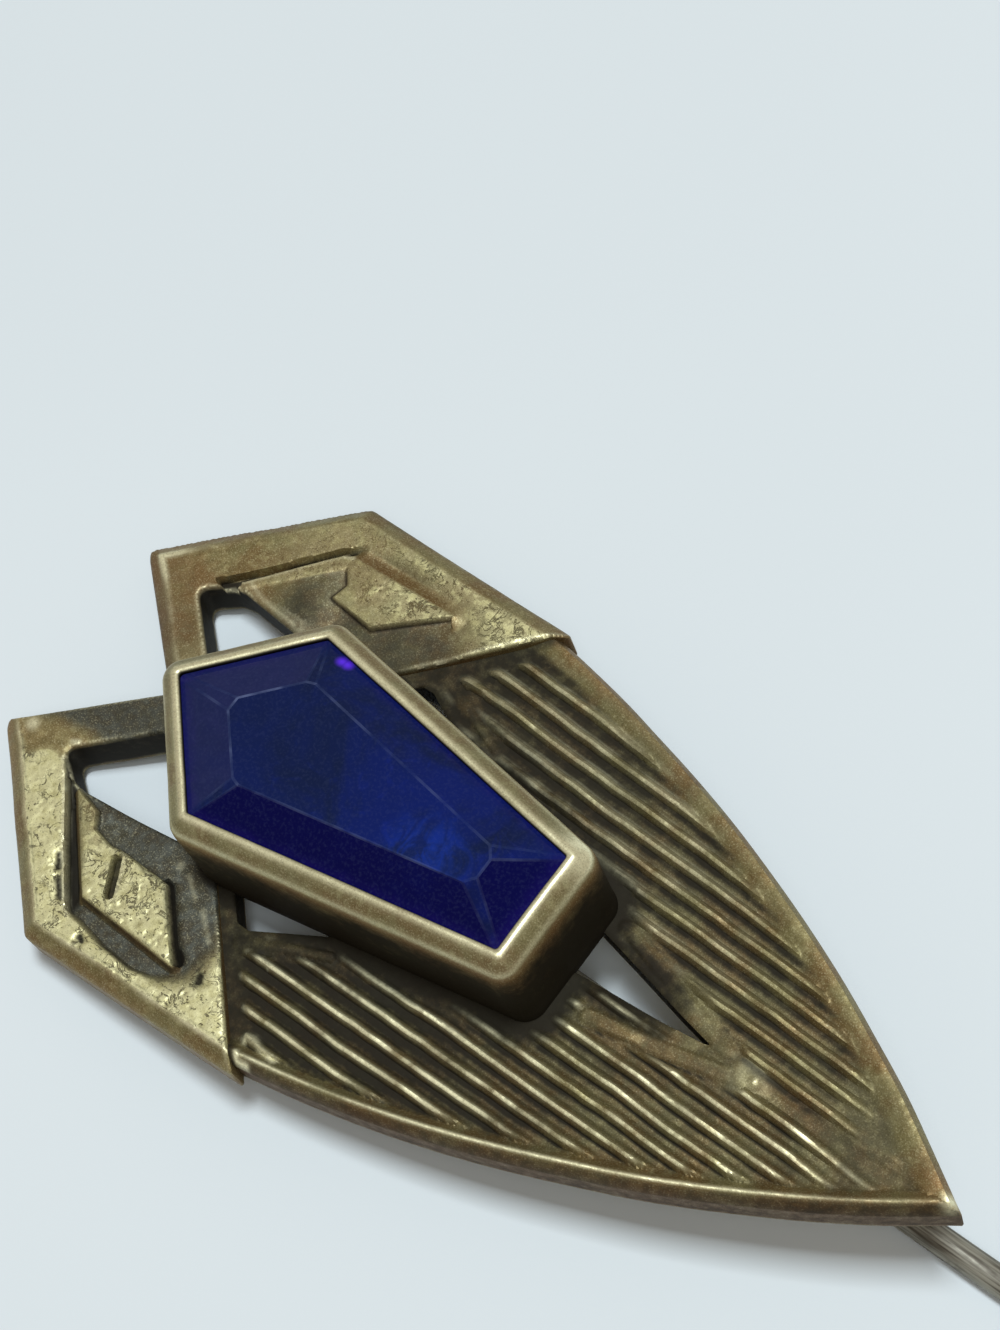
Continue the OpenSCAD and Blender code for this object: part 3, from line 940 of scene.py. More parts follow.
def wing_top(plan, edge):
    gilt_side = plan[:, 1] < 0

    def by_side(gilt, olive):
        return np.where(gilt_side, gilt, olive)

    p = stations(plan)
    st, a = p[:, 0], p[:, 1]
    olive_relief, gilt_relief = (wing_relief(p, side) for side in SIDES)
    r = {k: by_side(gilt_relief[k], olive_relief[k]) for k in olive_relief}
    notch_gap, side_gap, low_gap = wing_edges(plan)
    bevel = sizes().bevel * MM
    slope = np.minimum(np.minimum(side_gap, low_gap), notch_gap * by_side(2.4, 1.0))
    slope = slope + 0.03 * noise(plan, 0.8, 81)
    z = r["z"] - 0.36 * np.clip(1 - slope / bevel, 0, 1) ** 1.15
    slit_gap = distance(p, SLIT)
    slit = (1 - ramp(0.1, 0.17, slit_gap)) * gilt_side
    z = z - slit * 0.3 + 0.015 * rough(plan, 1.1, 91) + 0.01 * rough(plan, 5.0, 93)
    # Gilding, which starts a little way from the notch, and its pits
    on_face = r["face"] * ramp(0.0, 0.1, slope - bevel) * (1 - slit)
    start = ramp(3.15, 3.6, a + 0.3 * noise(plan, 1.6, 97)) + (st > 5.2)
    head_of_block = ramp(4.6, 5.3, st + 0.5 * noise(plan, 2.4, 98)) * 0.5 + 0.5
    gilt = by_side(np.clip(start, 0, 1) * on_face, 0.0)
    gilt = gilt * np.where(r["block"] > 0.5, head_of_block, 1.0)
    patch = hill(np.linalg.norm((p - np.array([9.6, 6.6])) * np.array([0.33, 0.7]), axis=1), 1.1)
    mottle = (0.4 + 0.12 * noise(plan, 0.5, 89)) * ramp(3.0, 4.8, st) + 0.02 * r["block"]
    mottle = mottle + 0.3 * ramp(6.2, 8.0, st) * ramp(5.0, 5.8, a)
    gilt = np.maximum(gilt, by_side(0.0, np.maximum(patch * 0.55, mottle)) * on_face)
    clusters = ramp(-0.35, 0.45, noise(plan, 0.8, 96))
    pits = ramp(0.3, 0.55, rough(plan, 5.0, 95)) * clusters
    z = z - pits * 0.03 * np.clip(gilt, 0.15, 1)
    # Edges worn bright, partly painted highlight
    corner, low_corner = away(p, (0.98, 3.3)), away(p, (5.2, 7.45))
    streak = np.clip(0.6 + 0.5 * noise(plan, 1.3, 99), 0, 1)
    gilt_line = 0.75 + 0.25 * np.maximum(hill(corner, 1.3), hill(low_corner, 1.5))
    olive_line = 0.15 + 1.2 * hill(corner, 0.9) + 0.35 * (notch_gap < side_gap)
    line = hill(slope - bevel - 0.02, by_side(0.06, 0.085)) * streak
    right_of_slit = (p - np.array(SLIT[0])) @ np.array([0.874, -0.486]) > 0.05
    low_line = hill(-from_wings(plan) - 0.05, 0.05) * ramp(4.0, 5.0, a)
    slot_rim = hill(edge - 0.04, 0.04) * (slope > bevel) * (st < 4.2) * (a > 1.2)
    wear_and_highlight = most(
        r["wear_and_highlight"],
        line * by_side(gilt_line, olive_line),
        hill(away(p, (1.02, 2.9)), 0.18) * by_side(1.1, 0.0),
        hill(slit_gap - 0.2, 0.045) * gilt_side * right_of_slit * 0.7,
        low_line * by_side(0.45, 0.6) * streak,
        slot_rim * by_side(0.55, 0.85) * streak)
    # Patina, the grey arm by the notch, and painted shade by the bezel's foot
    under = ramp(bevel, 0, slope)
    arm = (1 - ramp(1.9, 2.7, a + 0.35 * noise(plan, 1.2, 100))) * (st < 5.6)
    grey = np.maximum(r["grey"], arm * by_side(0.95, 0.1))
    dark = most(
        r["dark"],
        slit * 0.8,
        pits * 0.3 * gilt,
        (1 - ramp(0.0, 0.45, from_bezel(plan))) * 0.9,
        hill(slope - bevel - 0.12, 0.035) * by_side(0.5, 0.1) * (a > 3.4),
        arm * by_side(0.42, 0.2),
        under * by_side(0.0, 0.42),
        by_side(0.0, 0.32 * ramp(4.4, 3.2, a) * (st < 4.5)))
    lighter = 0.1 * ramp(6.5, 8.5, st) * ramp(5.2, 6.0, a) * (plan[:, 1] > 0)
    dark = dark + 0.06 * noise(plan, 1.7, 101) - lighter
    copper = r["copper"] + under * by_side(0.3, 0.25) + hill(corner, 1.3) * by_side(0.3, 0.35)
    copper = copper + by_side(0.0, 0.3 * ramp(4.2, 3.2, a) * (st < 4.5))
    copper = copper * (0.7 + 0.4 * noise(plan, 0.6, 103))
    looks = {"wear_and_highlight": wear_and_highlight, "dark": dark, "gilt": gilt, "grey": grey, "copper": copper}
    return eased(z, edge, WING_EDGE_RADIUS), looks


def wing_creases():
    """Lines along the sunk ground, the block, the slit and the bevel that the mesh follows."""
    lines = []
    bevel = sizes().bevel * MM
    for side in SIDES:
        for loop, gaps in ((SUNK[side], SUNK_ROWS), (BLOCK[side], BLOCK_ROWS)):
            ring = evened(rounded(turned(in_plan(loop, side)), 0.04, 3), 0.055)
            lines += [drawn_in(ring, gap) for gap in gaps]
        slit = spaced(in_plan(SLIT, side), 0.05)
        for u in SLIT_ROWS:
            lines += [beside(slit, u), beside(slit, -u)]
        for leg in legs(in_plan(WING_CORNERS[:4], side), closed=False):
            for u in BEVEL_ROWS:
                lines.append(beside(spaced(leg, 0.05), -(bevel + u) * side))
    return lines


# The stone and its bezel


def stone_outline():
    """The stone's edge, from its apex round by the gilt side."""
    stone = bpy.context.scene.pin_stone
    start = x_of(STONE_START)
    half, end = stone.width * MM / 2, stone.end_width * MM / 2
    shoulder, far = start + STONE_SHOULDER, start + stone.length * MM
    return np.array([(start, 0), (shoulder, -half), (far, -end), (far, end), (shoulder, half)])


def moved_outline(out, least, steps, side_points):
    """The stone's outline moved out, with each corner turned and each side divided evenly.

    out is one distance, or one for each side. least is the least radius of a corner.
    """
    loop = stone_outline()
    outs = np.broadcast_to(out, len(loop))
    ways = [-across(unit(b - a)) for a, b in legs(loop)]
    radius = max(outs.max(), least)
    arcs = []
    for i, corner in enumerate(loop):
        pair = np.array([ways[i - 1], ways[i]])
        middle = corner + np.linalg.solve(pair, np.array([outs[i - 1], outs[i]]) - radius)
        shares = np.linspace(0, 1, steps)
        arcs.append([middle + unit(pair[0] * (1 - s) + pair[1] * s) * radius for s in shares])
    points = []
    for arc, after, count in zip(arcs, arcs[1:] + arcs[:1], side_points):
        a, b = arc[-1], after[0]
        points += arc + [a + (b - a) * t for t in np.linspace(0, 1, count + 2)[1:-1]]
    return np.array(points)


# Materials


class Maker:
    """A new node material, and short calls for making and linking its nodes."""

    def __init__(self, name):
        old = bpy.data.materials.get(name)
        if old is not None:
            bpy.data.materials.remove(old)
        self.made = bpy.data.materials.new(name)
        self.made.use_nodes = True
        self.tree = self.made.node_tree
        self.place = self.add("ShaderNodeTexCoord").outputs["Object"]

    def add(self, kind, **values):
        node = self.tree.nodes.new(kind)
        for key, value in values.items():
            setattr(node, key, value)
        return node

    def link(self, value, socket):
        """Links a socket, or sets a number or colour on the socket itself."""
        if isinstance(value, bpy.types.NodeSocket):
            self.tree.links.new(value, socket)
        else:
            socket.default_value = value

    def shade(self, **values):
        """Fills the shader's sockets, each named with _ for a space. Returns the material."""
        shader = self.tree.nodes["Principled BSDF"]
        for name, value in values.items():
            self.link(value, shader.inputs[name.replace("_", " ")])
        return self.made

    def look(self, name):
        return self.add("ShaderNodeAttribute", attribute_name=name).outputs["Fac"]

    def noise(self, per_mm, detail=3.0, roughness=0.55, warp=0.0, place=None):
        """Noise with this many lumps per millimetre, about 0.5 on average."""
        node = self.add("ShaderNodeTexNoise")
        values = (self.place if place is None else place, per_mm * MM, detail, roughness, warp)
        for name, value in zip(("Vector", "Scale", "Detail", "Roughness", "Distortion"), values):
            self.link(value, node.inputs[name])
        return node.outputs["Fac"]

    def spot(self, station, y, below, radius):
        """1 at a place this far below the bezel's lip, falling to 0 at the radius."""
        place = (x_of(station), y, bpy.context.scene.pin_stone.lip * MM - below)
        node = self.add("ShaderNodeVectorMath", operation="DISTANCE")
        self.link(self.place, node.inputs[0])
        node.inputs[1].default_value = in_row([place])[0]
        return self.ramp(node.outputs["Value"], radius / MM, 0.0)

    def ramp(self, value, lo, hi, to_lo=0.0, to_hi=1.0):
        node = self.add("ShaderNodeMapRange", interpolation_type="SMOOTHSTEP")
        names = ("Value", "From Min", "From Max", "To Min", "To Max")
        for name, number in zip(names, (value, lo, hi, to_lo, to_hi)):
            self.link(number, node.inputs[name])
        return node.outputs["Result"]

    def vary(self, value, lo, hi):
        """A number from lo to hi that follows a noise."""
        return self.ramp(value, 0.3, 0.7, lo, hi)

    def math(self, kind, a, b, clamp=False):
        node = self.add("ShaderNodeMath", operation=kind, use_clamp=clamp)
        self.link(a, node.inputs[0])
        self.link(b, node.inputs[1])
        return node.outputs[0]

    def times(self, a, b, clamp=False):
        return self.math("MULTIPLY", a, b, clamp)

    def most(self, a, b):
        return self.math("MAXIMUM", a, b)

    def mix(self, share, a, b):
        """Colour a where share is 0, and b where it is 1."""
        node = self.add("ShaderNodeMix", data_type="RGBA")
        self.link(share, node.inputs[0])
        for value, socket in ((a, node.inputs[6]), (b, node.inputs[7])):
            self.link(value if isinstance(value, bpy.types.NodeSocket) else (*value, 1.0), socket)
        return node.outputs[2]

    def cover(self, base, *layers):
        """A colour with layers over it, each one a share and a colour."""
        for share, colour in layers:
            base = self.mix(share, base, colour)
        return base

    def mix_number(self, share, a, b):
        node = self.add("ShaderNodeMix", data_type="FLOAT")
        for i, value in ((0, share), (2, a), (3, b)):
            self.link(value, node.inputs[i])
        return node.outputs[0]

    def bump(self, height, strength, depth_mm, under=None):
        node = self.add("ShaderNodeBump")
        node.inputs["Strength"].default_value = strength
        node.inputs["Distance"].default_value = depth_mm / MM
        self.link(height, node.inputs["Height"])
        if under is not None:
            self.link(under, node.inputs["Normal"])
        return node.outputs["Normal"]


def cast_metal():
    """Olive brass with dark patina and painted shade, pitted gilding, grey metal, copper tints
    and bright edges from wear and painted highlights, with painted specular specks.
    """
    done = bpy.data.materials.get("cast_metal")
    if done is not None:
        return done
    c = bpy.context.scene.pin_finish
    m = Maker("cast_metal")
    wear_and_highlight, dark, gilt, grey, copper = (m.look(k) for k in LOOKS)
    broad = m.noise(0.7, 3.0)
    middle = m.noise(3.2, 4.0, 0.6)
    fine = m.noise(14.0, 3.0, 0.6)
    grains = m.noise(24.0, 2.0, 0.6)
    # Pits and cracks of the gilding
    pits = m.ramp(m.noise(8.0, 3.0, 0.6, 0.4), 0.4, 0.34)
    pits = m.times(pits, m.ramp(broad, 0.4, 0.6, 0.35, 1.0))
    cracks = m.math("ABSOLUTE", m.math("SUBTRACT", m.noise(1.9, 5.0, 0.62, 0.8), 0.5), 0.0)
    cracks = m.times(m.ramp(cracks, 0.026, 0.008), m.ramp(m.noise(1.1, 2.0), 0.42, 0.56))
    hollows = m.most(pits, cracks)
    bare = m.mix(m.ramp(middle, 0.4, 0.68), c.grey, c.grey_light)
    gold = m.mix(m.ramp(middle, 0.4, 0.65), c.gilt, c.gilt_deep)
    gold = m.mix(m.times(hollows, 0.8), gold, c.brown_dark)
    gilded = m.ramp(m.math("ADD", gilt, m.vary(middle, -0.25, 0.25)), 0.45, 0.85)
    shade = m.ramp(m.math("ADD", dark, m.vary(middle, -0.1, 0.1)), 0.05, 0.95)
    # Worn places, partly painted highlight, turn bright brass
    shine = m.times(wear_and_highlight, m.ramp(fine, 0.3, 0.6, 0.7, 1.0), True)
    base = m.cover(
        m.mix(m.ramp(broad, 0.38, 0.62), c.olive, c.brown),
        (m.ramp(middle, 0.48, 0.7, 0.0, 0.5), c.olive_light),
        (m.times(copper, m.ramp(middle, 0.3, 0.6, 0.6, 1.0), True), c.copper),
        (m.times(grey, m.vary(middle, 0.8, 1.0), True), bare),
        (m.most(gilded, m.times(gilt, 0.62)), gold),
        # Patina and painted shade
        (m.times(shade, 0.97), c.patina_and_shade),
        (shine, c.bright),
        (m.ramp(grains, 0.5, 0.25, 0.0, 0.35), c.patina_and_shade),
        # Painted specular specks where the metal isn't dark
        (m.times(m.ramp(grains, 0.52, 0.75, 0.0, 0.3), m.math("SUBTRACT", 1.0, shade)), c.bright))
    grain = m.bump(fine, 0.3, 0.012)
    return m.shade(
        Base_Color=base,
        Metallic=m.most(m.mix_number(shade, 0.6, 0.15), m.times(copper, 0.85)),
        Specular_IOR_Level=m.mix_number(shade, 0.5, 0.15),
        Roughness=m.mix_number(shine, m.mix_number(shade, m.vary(middle, 0.42, 0.56), 0.7), 0.32),
        Normal=m.bump(m.times(hollows, m.ramp(gilt, 0.2, 0.7)), 0.7, -0.03, grain))


def stone_glass():
    """Deep blue glass: cloudy, with a painted grey sheen by the apex, painted shade on some facets,
    a painted glow and violet glint, pale worn edges partly painted highlight, and a painted violet
    rim light.
    """
    c = bpy.context.scene.pin_finish
    m = Maker("stone_glass")
    edge, dark, grey, rim = (m.look(k) for k in ("wear_and_highlight", "dark", "grey", "copper"))
    cloud = m.noise(0.35, 4.0, 0.6, 0.8)
    wisps = m.noise(1.1, 3.0, 0.6, 1.5)
    grains = m.noise(12.0, 2.0, 0.6)
    line = m.times(edge, m.ramp(m.noise(0.9, 3.0), 0.38, 0.62, 0.1, 0.85))
    base = m.cover(
        m.mix(m.ramp(cloud, 0.36, 0.62), c.stone_deep, c.stone),
        (m.ramp(wisps, 0.54, 0.78, 0.0, 0.4), c.stone_light),
        # Darker towards the apex
        (m.times(m.spot(8.3, 0.3, 0.0, 6.5), 0.75), c.stone_deep),
        # A painted glow inside the stone by its end
        (m.times(m.spot(15.0, -0.55, 0.0, 1.7), m.ramp(wisps, 0.4, 0.62, 0.1, 0.5)), c.painted_stone_glow),
        # A painted grey sheen on the facets by the apex
        (m.times(grey, m.vary(wisps, 0.6, 1.0), True), c.painted_stone_sheen),
        # Painted shade on the darker facets
        (m.times(dark, 0.93), c.painted_stone_shade),
        # A painted violet rim light along the girdle
        (m.times(m.ramp(rim, 0.55, 1.0, 0.0, 0.75), m.vary(wisps, 0.4, 1.0)), c.painted_stone_rim_light),
        (m.ramp(grains, 0.45, 0.7, 0.0, 0.05), c.stone_edge_wear_and_highlight),
        # A painted violet glint by the shoulder
        (m.most(m.spot(9.4, 2.66, 0.1, 0.26), m.spot(9.58, 2.68, 0.1, 0.26)), c.painted_stone_glint),
        # Worn facet edges, pale partly as painted highlight
        (m.times(line, m.ramp(rim, 0.65, 0.2)), c.stone_edge_wear_and_highlight))
    # The worn edges, partly painted highlight, are matt, so the lamps don't shine in them
    matt = m.ramp(edge, 0.01, 0.12)
    return m.shade(
        Base_Color=base,
        Roughness=m.mix_number(matt, m.vary(m.noise(2.5, 3.0), 0.02, 0.05), 0.8),
        IOR=1.5,
        Specular_IOR_Level=m.mix_number(dark, m.mix_number(matt, 0.24, 0.12), 0.12),
        Normal=m.bump(m.noise(1.6, 4.0), 0.06, 0.02))


def steel_wire():
    """Grey drawn steel with long streaks and brown spots."""
    c = bpy.context.scene.pin_finish
    m = Maker("steel_wire")
    stretch = m.add("ShaderNodeMapping")
    m.link(m.place, stretch.inputs["Vector"])
    stretch.inputs["Scale"].default_value = (0.06, 1.0, 1.0)
    streaks = m.noise(9.0, 4.0, 0.5, place=stretch.outputs[0])
    spots = m.noise(1.4, 4.0, 0.65)
    base = m.mix(m.ramp(streaks, 0.35, 0.65), c.steel, c.steel_dark)
    return m.shade(
        Base_Color=m.mix(m.ramp(spots, 0.56, 0.74, 0.0, 0.5), base, c.brown_dark),
        Metallic=0.45,
        Roughness=m.vary(spots, 0.45, 0.62),
        Normal=m.bump(streaks, 0.5, 0.012))


def pale_ground():
    c = bpy.context.scene.pin_finish
    m = Maker("pale_ground")
    return m.shade(
        Base_Color=m.mix(m.ramp(m.noise(0.02, 2.0), 0.35, 0.65), c.ground, c.ground_far),
        Roughness=0.7,
        Normal=m.bump(m.noise(2.0, 3.0), 0.15, 0.02))


# Properties


def length_prop(name, text, value, low, high):
    return bpy.props.FloatProperty(
        name=name, description=text, default=value, min=low, max=high, unit="LENGTH", precision=5)


def colour_prop(name, text, value):
    return bpy.props.FloatVectorProperty(
        name=name, description=text, default=value, min=0, max=1, size=3, subtype="COLOR")


class PinHeadSizes(bpy.types.PropertyGroup):
    length: length_prop(
        "Head length", "From the wing corners to the shield's tip", 0.0302, 0.0292, 0.0332)
    plate: length_prop(
        "Plate thickness", "Thickness of the plate under the wings", 0.0014, 0.0012, 0.0016)
    floor_drop: length_prop(
        "Floor depth", "Depth of the ribbed floor below the wings' faces", 0.00045, 0.00035, 0.0006)
    border_height: length_prop(
        "Border height", "Height of the border's crest over the floor", 0.00033, 0.0002, 0.0004)
    rib_height: length_prop(
        "Rib height", "Height of a rib over the floor", 0.00026, 0.00015, 0.00032)
    rib_pitch: length_prop(
        "Rib pitch", "Distance between neighbouring ribs", 0.00062, 0.00058, 0.0007)
    bevel: length_prop(
        "Wing bevel", "Width of the bevel along the wings' outer edges", 0.00045, 0.0003, 0.0006)
    uneven: length_prop(
        "Unevenness", "How far the casting wanders from its drawing", 0.00003, 0.0, 0.0001)
    mesh_step: length_prop(
        "Mesh step", "Distance between mesh points on the sculpted faces", 0.00006, 0.00005, 0.0003)
    rise: bpy.props.FloatProperty(
        name="Rise", description="Angle by which the shield's tip stands up from the stem",
        default=math.radians(7.5), min=math.radians(7), max=math.radians(9), subtype="ANGLE")


class PinStoneSizes(bpy.types.PropertyGroup):
    length: length_prop(
        "Stone length", "Length of the stone along the head", 0.0123, 0.0115, 0.0126)
    width: length_prop(
        "Stone width", "Width of the stone at its shoulders", 0.00606, 0.0056, 0.0063)
    end_width: length_prop(
        "End width", "Width of the stone at its straight end", 0.003, 0.0026, 0.0033)
    lip: length_prop(
        "Lip height", "Height of the bezel's lip over the wings' faces", 0.00314, 0.0029, 0.0034)
    edge_wear: length_prop(
        "Edge wear", "Width to which the stone's edges are wear_and_highlight", 0.00004, 0.00001, 0.0001)


class PinStemSizes(bpy.types.PropertyGroup):
    overall: length_prop(
        "Overall length", "From the wing corners to the stem's point", 0.075, 0.06, 0.09)
    diameter: length_prop(
        "Stem diameter", "Diameter of the stem wire", 0.0008, 0.0007, 0.001)
    point: length_prop(
        "Point length", "Length of the tapered point", 0.005, 0.003, 0.008)
    seat: length_prop(
        "Seat length", "Length of the stem's end in its saddle", 0.006, 0.004, 0.008)
    saddle_width: length_prop(
        "Saddle width", "Width of the saddle that holds the stem's end", 0.0019, 0.0015, 0.0025)


class PinFinish(bpy.types.PropertyGroup):
    olive: colour_prop("Olive brass", "Aged brass", (0.235, 0.205, 0.085))
    olive_light: colour_prop("Light brass", "Rubbed places of the aged brass", (0.42, 0.375, 0.175))
    brown: colour_prop("Brown brass", "Browner places of the aged brass", (0.20, 0.135, 0.048))
    brown_dark: colour_prop("Dark brown", "Pits and stains", (0.05, 0.034, 0.016))
    # Also the colour of painted shade
    patina_and_shade: colour_prop("Patina", "Dark patina in the recesses", (0.015, 0.013, 0.009))
    gilt: colour_prop("Gilding", "Pale worn gilding", (0.80, 0.765, 0.43))
    gilt_deep: colour_prop("Deep gilding", "Deeper tone of the gilding", (0.60, 0.56, 0.28))
    grey: colour_prop("Grey metal", "Grey metal in the sunk turn", (0.05, 0.054, 0.045))
    grey_light: colour_prop("Light grey", "Lighter places of the grey metal", (0.115, 0.125, 0.105))
    copper: colour_prop("Copper tint", "Reddish tint along the edges", (0.30, 0.14, 0.045))
    # Also the colour of painted highlights
    bright: colour_prop("Bright brass", "Brass polished by wear", (0.96, 0.92, 0.6))
    stone: colour_prop("Stone", "Body colour of the stone", (0.003, 0.012, 0.115))
    stone_deep: colour_prop("Deep stone", "Darker clouds in the stone", (0.004, 0.011, 0.05))
    # Painted shade on facets
    painted_stone_shade: colour_prop("Dark facets", "Facets that turn dark", (0.0015, 0.0015, 0.047))
    # Painted grey sheen on the facets by the apex
    painted_stone_sheen: colour_prop("Grey facets", "Facets by the apex", (0.014, 0.02, 0.085))
    stone_light: colour_prop("Light stone", "Pale wisps in the stone", (0.005, 0.018, 0.21))
    # Painted glow inside the stone
    painted_stone_glow: colour_prop("Stone glow", "Bright place inside the stone", (0.008, 0.045, 0.42))
    # Painted violet rim light along the girdle
    painted_stone_rim_light: colour_prop("Stone rim", "Violet light along the girdle", (0.012, 0.006, 0.13))
    # Painted violet glint at the shoulder
    painted_stone_glint: colour_prop("Stone glint", "Violet spark at the shoulder", (0.11, 0.03, 0.8))
    # Worn facet edges, partly painted highlight
    stone_edge_wear_and_highlight: colour_prop("Stone edges", "Worn edges of the facets", (0.11, 0.14, 0.27))
    steel: colour_prop("Steel", "Stem wire", (0.33, 0.32, 0.26))
    steel_dark: colour_prop("Dark steel", "Darker streaks of the stem wire", (0.085, 0.075, 0.055))
    ground: colour_prop("Ground", "Pale surface under the pin", (0.72, 0.79, 0.82))
    ground_far: colour_prop("Ground shade", "Second tone of the pale surface", (0.70, 0.77, 0.80))


# Operators


class PIN_OT_shield(bpy.types.Operator):
    """Makes the ribbed shield with its border, bars and openings"""
    bl_idname = "stick_pin.shield"
    bl_label = "Shield"

    def execute(self, context):
        # Its back is a hair above the wings' one, so the two don't lie in one plane
        back = -context.scene.pin_head.plate * MM + 0.005
        plate(
            "shield", shield_outline(), shield_holes(), shield_creases(), 1.25, shield_top, back,
            {"dark": (0.55, 0.68), "copper": (0.75, 0.9)}, {"dark": (0.95, 1.0)}, 11)
        return {"FINISHED"}


class PIN_OT_wings(bpy.types.Operator):
    """Makes the two wings with their bevels, hook blocks and slots"""
    bl_idname = "stick_pin.wings"
    bl_label = "Wings"

    def execute(self, context):
        back = -context.scene.pin_head.plate * MM
        plate(
            "wings", wing_outline(), wing_slots(), wing_creases(), 1, wing_top, back,
            {"dark": (0.2, 0.45), "copper": (0.35, 0.5)}, {"dark": (0.85, 1.0)}, 21)
        return {"FINISHED"}


class PIN_OT_bezel(bpy.types.Operator):
    """Makes the tall bezel with its rubbed lip"""
    bl_idname = "stick_pin.bezel"
    bl_label = "Bezel"

    def execute(self, context):
        lip = context.scene.pin_stone.lip * MM
        loop = stone_outline()
        per_side = [round(np.linalg.norm(b - a) / BEZEL_STEPS[0]) for a, b in legs(loop)]
        rows = []
        for a, b in legs(BEZEL, closed=False):
            n = max(1, math.ceil(abs(b[1] - a[1]) / BEZEL_STEPS[1]))
            rows += [a + (b - a) * k / n for k in range(n)]
        rows.append(BEZEL[-1])
        rings = [at_height(moved_outline(row[0], 0.1, 9, per_side), lip + row[1]) for row in rows]
        points, faces = ring_solid(rings)
        columns = ((2, "wear_and_highlight"), (3, "dark"), (4, "copper"))
        looks = {key: np.repeat([row[i] for row in rows], len(rings[0])) for i, key in columns}
        # The upper part is uneven
        out = points - np.append(loop.mean(axis=0), lip)
        out[:, 2] = 0
        out /= np.linalg.norm(out, axis=1)[:, None]
        upper = ramp(-1.5, -0.2, points[:, 2] - lip)
        points = points + out * (0.022 * rough(points, 0.55, 111) * upper)[:, None]
        plan = points[:, :2]
        points[:, 2] += (0.02 * rough(plan, 0.5, 113) + 0.008 * rough(plan, 2.6, 115)) * upper
        # A painted glint on the lip at the stone's end corner on the olive side
        painted_glint = 1.1 * hill(away(plan - loop[3], (0.15, 0.25)), 0.6)
        painted_glint = painted_glint * (points[:, 2] > lip - 0.35) * (looks["dark"] < 0.5)
        looks["wear_and_highlight"] = looks["wear_and_highlight"] * (0.86 + 0.2 * noise(points, 0.9, 117)) + painted_glint
        looks["dark"] = looks["dark"] + 0.12 * noise(points, 1.1, 119)
        piece("bezel", in_row(points), faces, looks, cast_metal(), "head", 60.0)
        return {"FINISHED"}


class PIN_OT_saddle(bpy.types.Operator):
    """Makes the saddle on the back that holds the stem's end"""
    bl_idname = "stick_pin.saddle"
    bl_label = "Saddle"

    def execute(self, context):
        head, stem = context.scene.pin_head, context.scene.pin_stem
        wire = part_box("pin_stem")[0][0] * MM
        start = wire - SADDLE_PAST
        end = start + stem.seat * MM
        half = stem.saddle_width * MM / 2
        radius = stem.diameter * MM / 2
        # Height of the wings' faces over the wire's end
        high = head.length * MM * math.sin(head.rise) + head.plate * MM * math.cos(head.rise)
        high += (wire + stem.overall * MM / 2 - head.length * MM) * math.sin(head.rise)
        high -= SADDLE_TUCK
        corners = [(half, SADDLE_UNDER), (half, high), (-half, high), (-half, SADDLE_UNDER)]
        box = rounded(np.array(corners), SADDLE_RADIUS, 6) - np.array([0, radius])
        ring = circle(SADDLE_SIDES)
        body = np.array([way * reach(way, box) for way in ring])
        # Rings from the closed end's middle, over the outside, and down the bore to its end
        rows = [(start, body * 0.75)] + [(start + d, body * s) for d, s in SADDLE_END]
        rows += [(start + stem.seat * MM * t, body) for t in (0.25, 0.5, 0.75)]
        rows += [(end - d, body * s) for d, s in SADDLE_END[::-1]]
        rows += [(end, ring * (radius + SADDLE_ROOM)), ((start + end) / 2, ring * radius)]
        rows.append((wire - SADDLE_ROOM, ring * (radius * 0.85 + SADDLE_ROOM)))
        points, faces = ring_solid([around_wire(x, loop, radius) for x, loop in rows])
        outside = np.hypot(points[:, 1], points[:, 2] - radius) > 0.5
        wander = np.stack([rough(points, 0.8, 121 + k) for k in range(3)], 1)
        points = points + 0.012 * wander * outside[:, None]
        looks = {"dark": 0.35 + 0.2 * noise(points, 0.8, 131), "copper": 0.15}
        piece("saddle", points / MM, faces, looks, cast_metal(), "head")
        return {"FINISHED"}


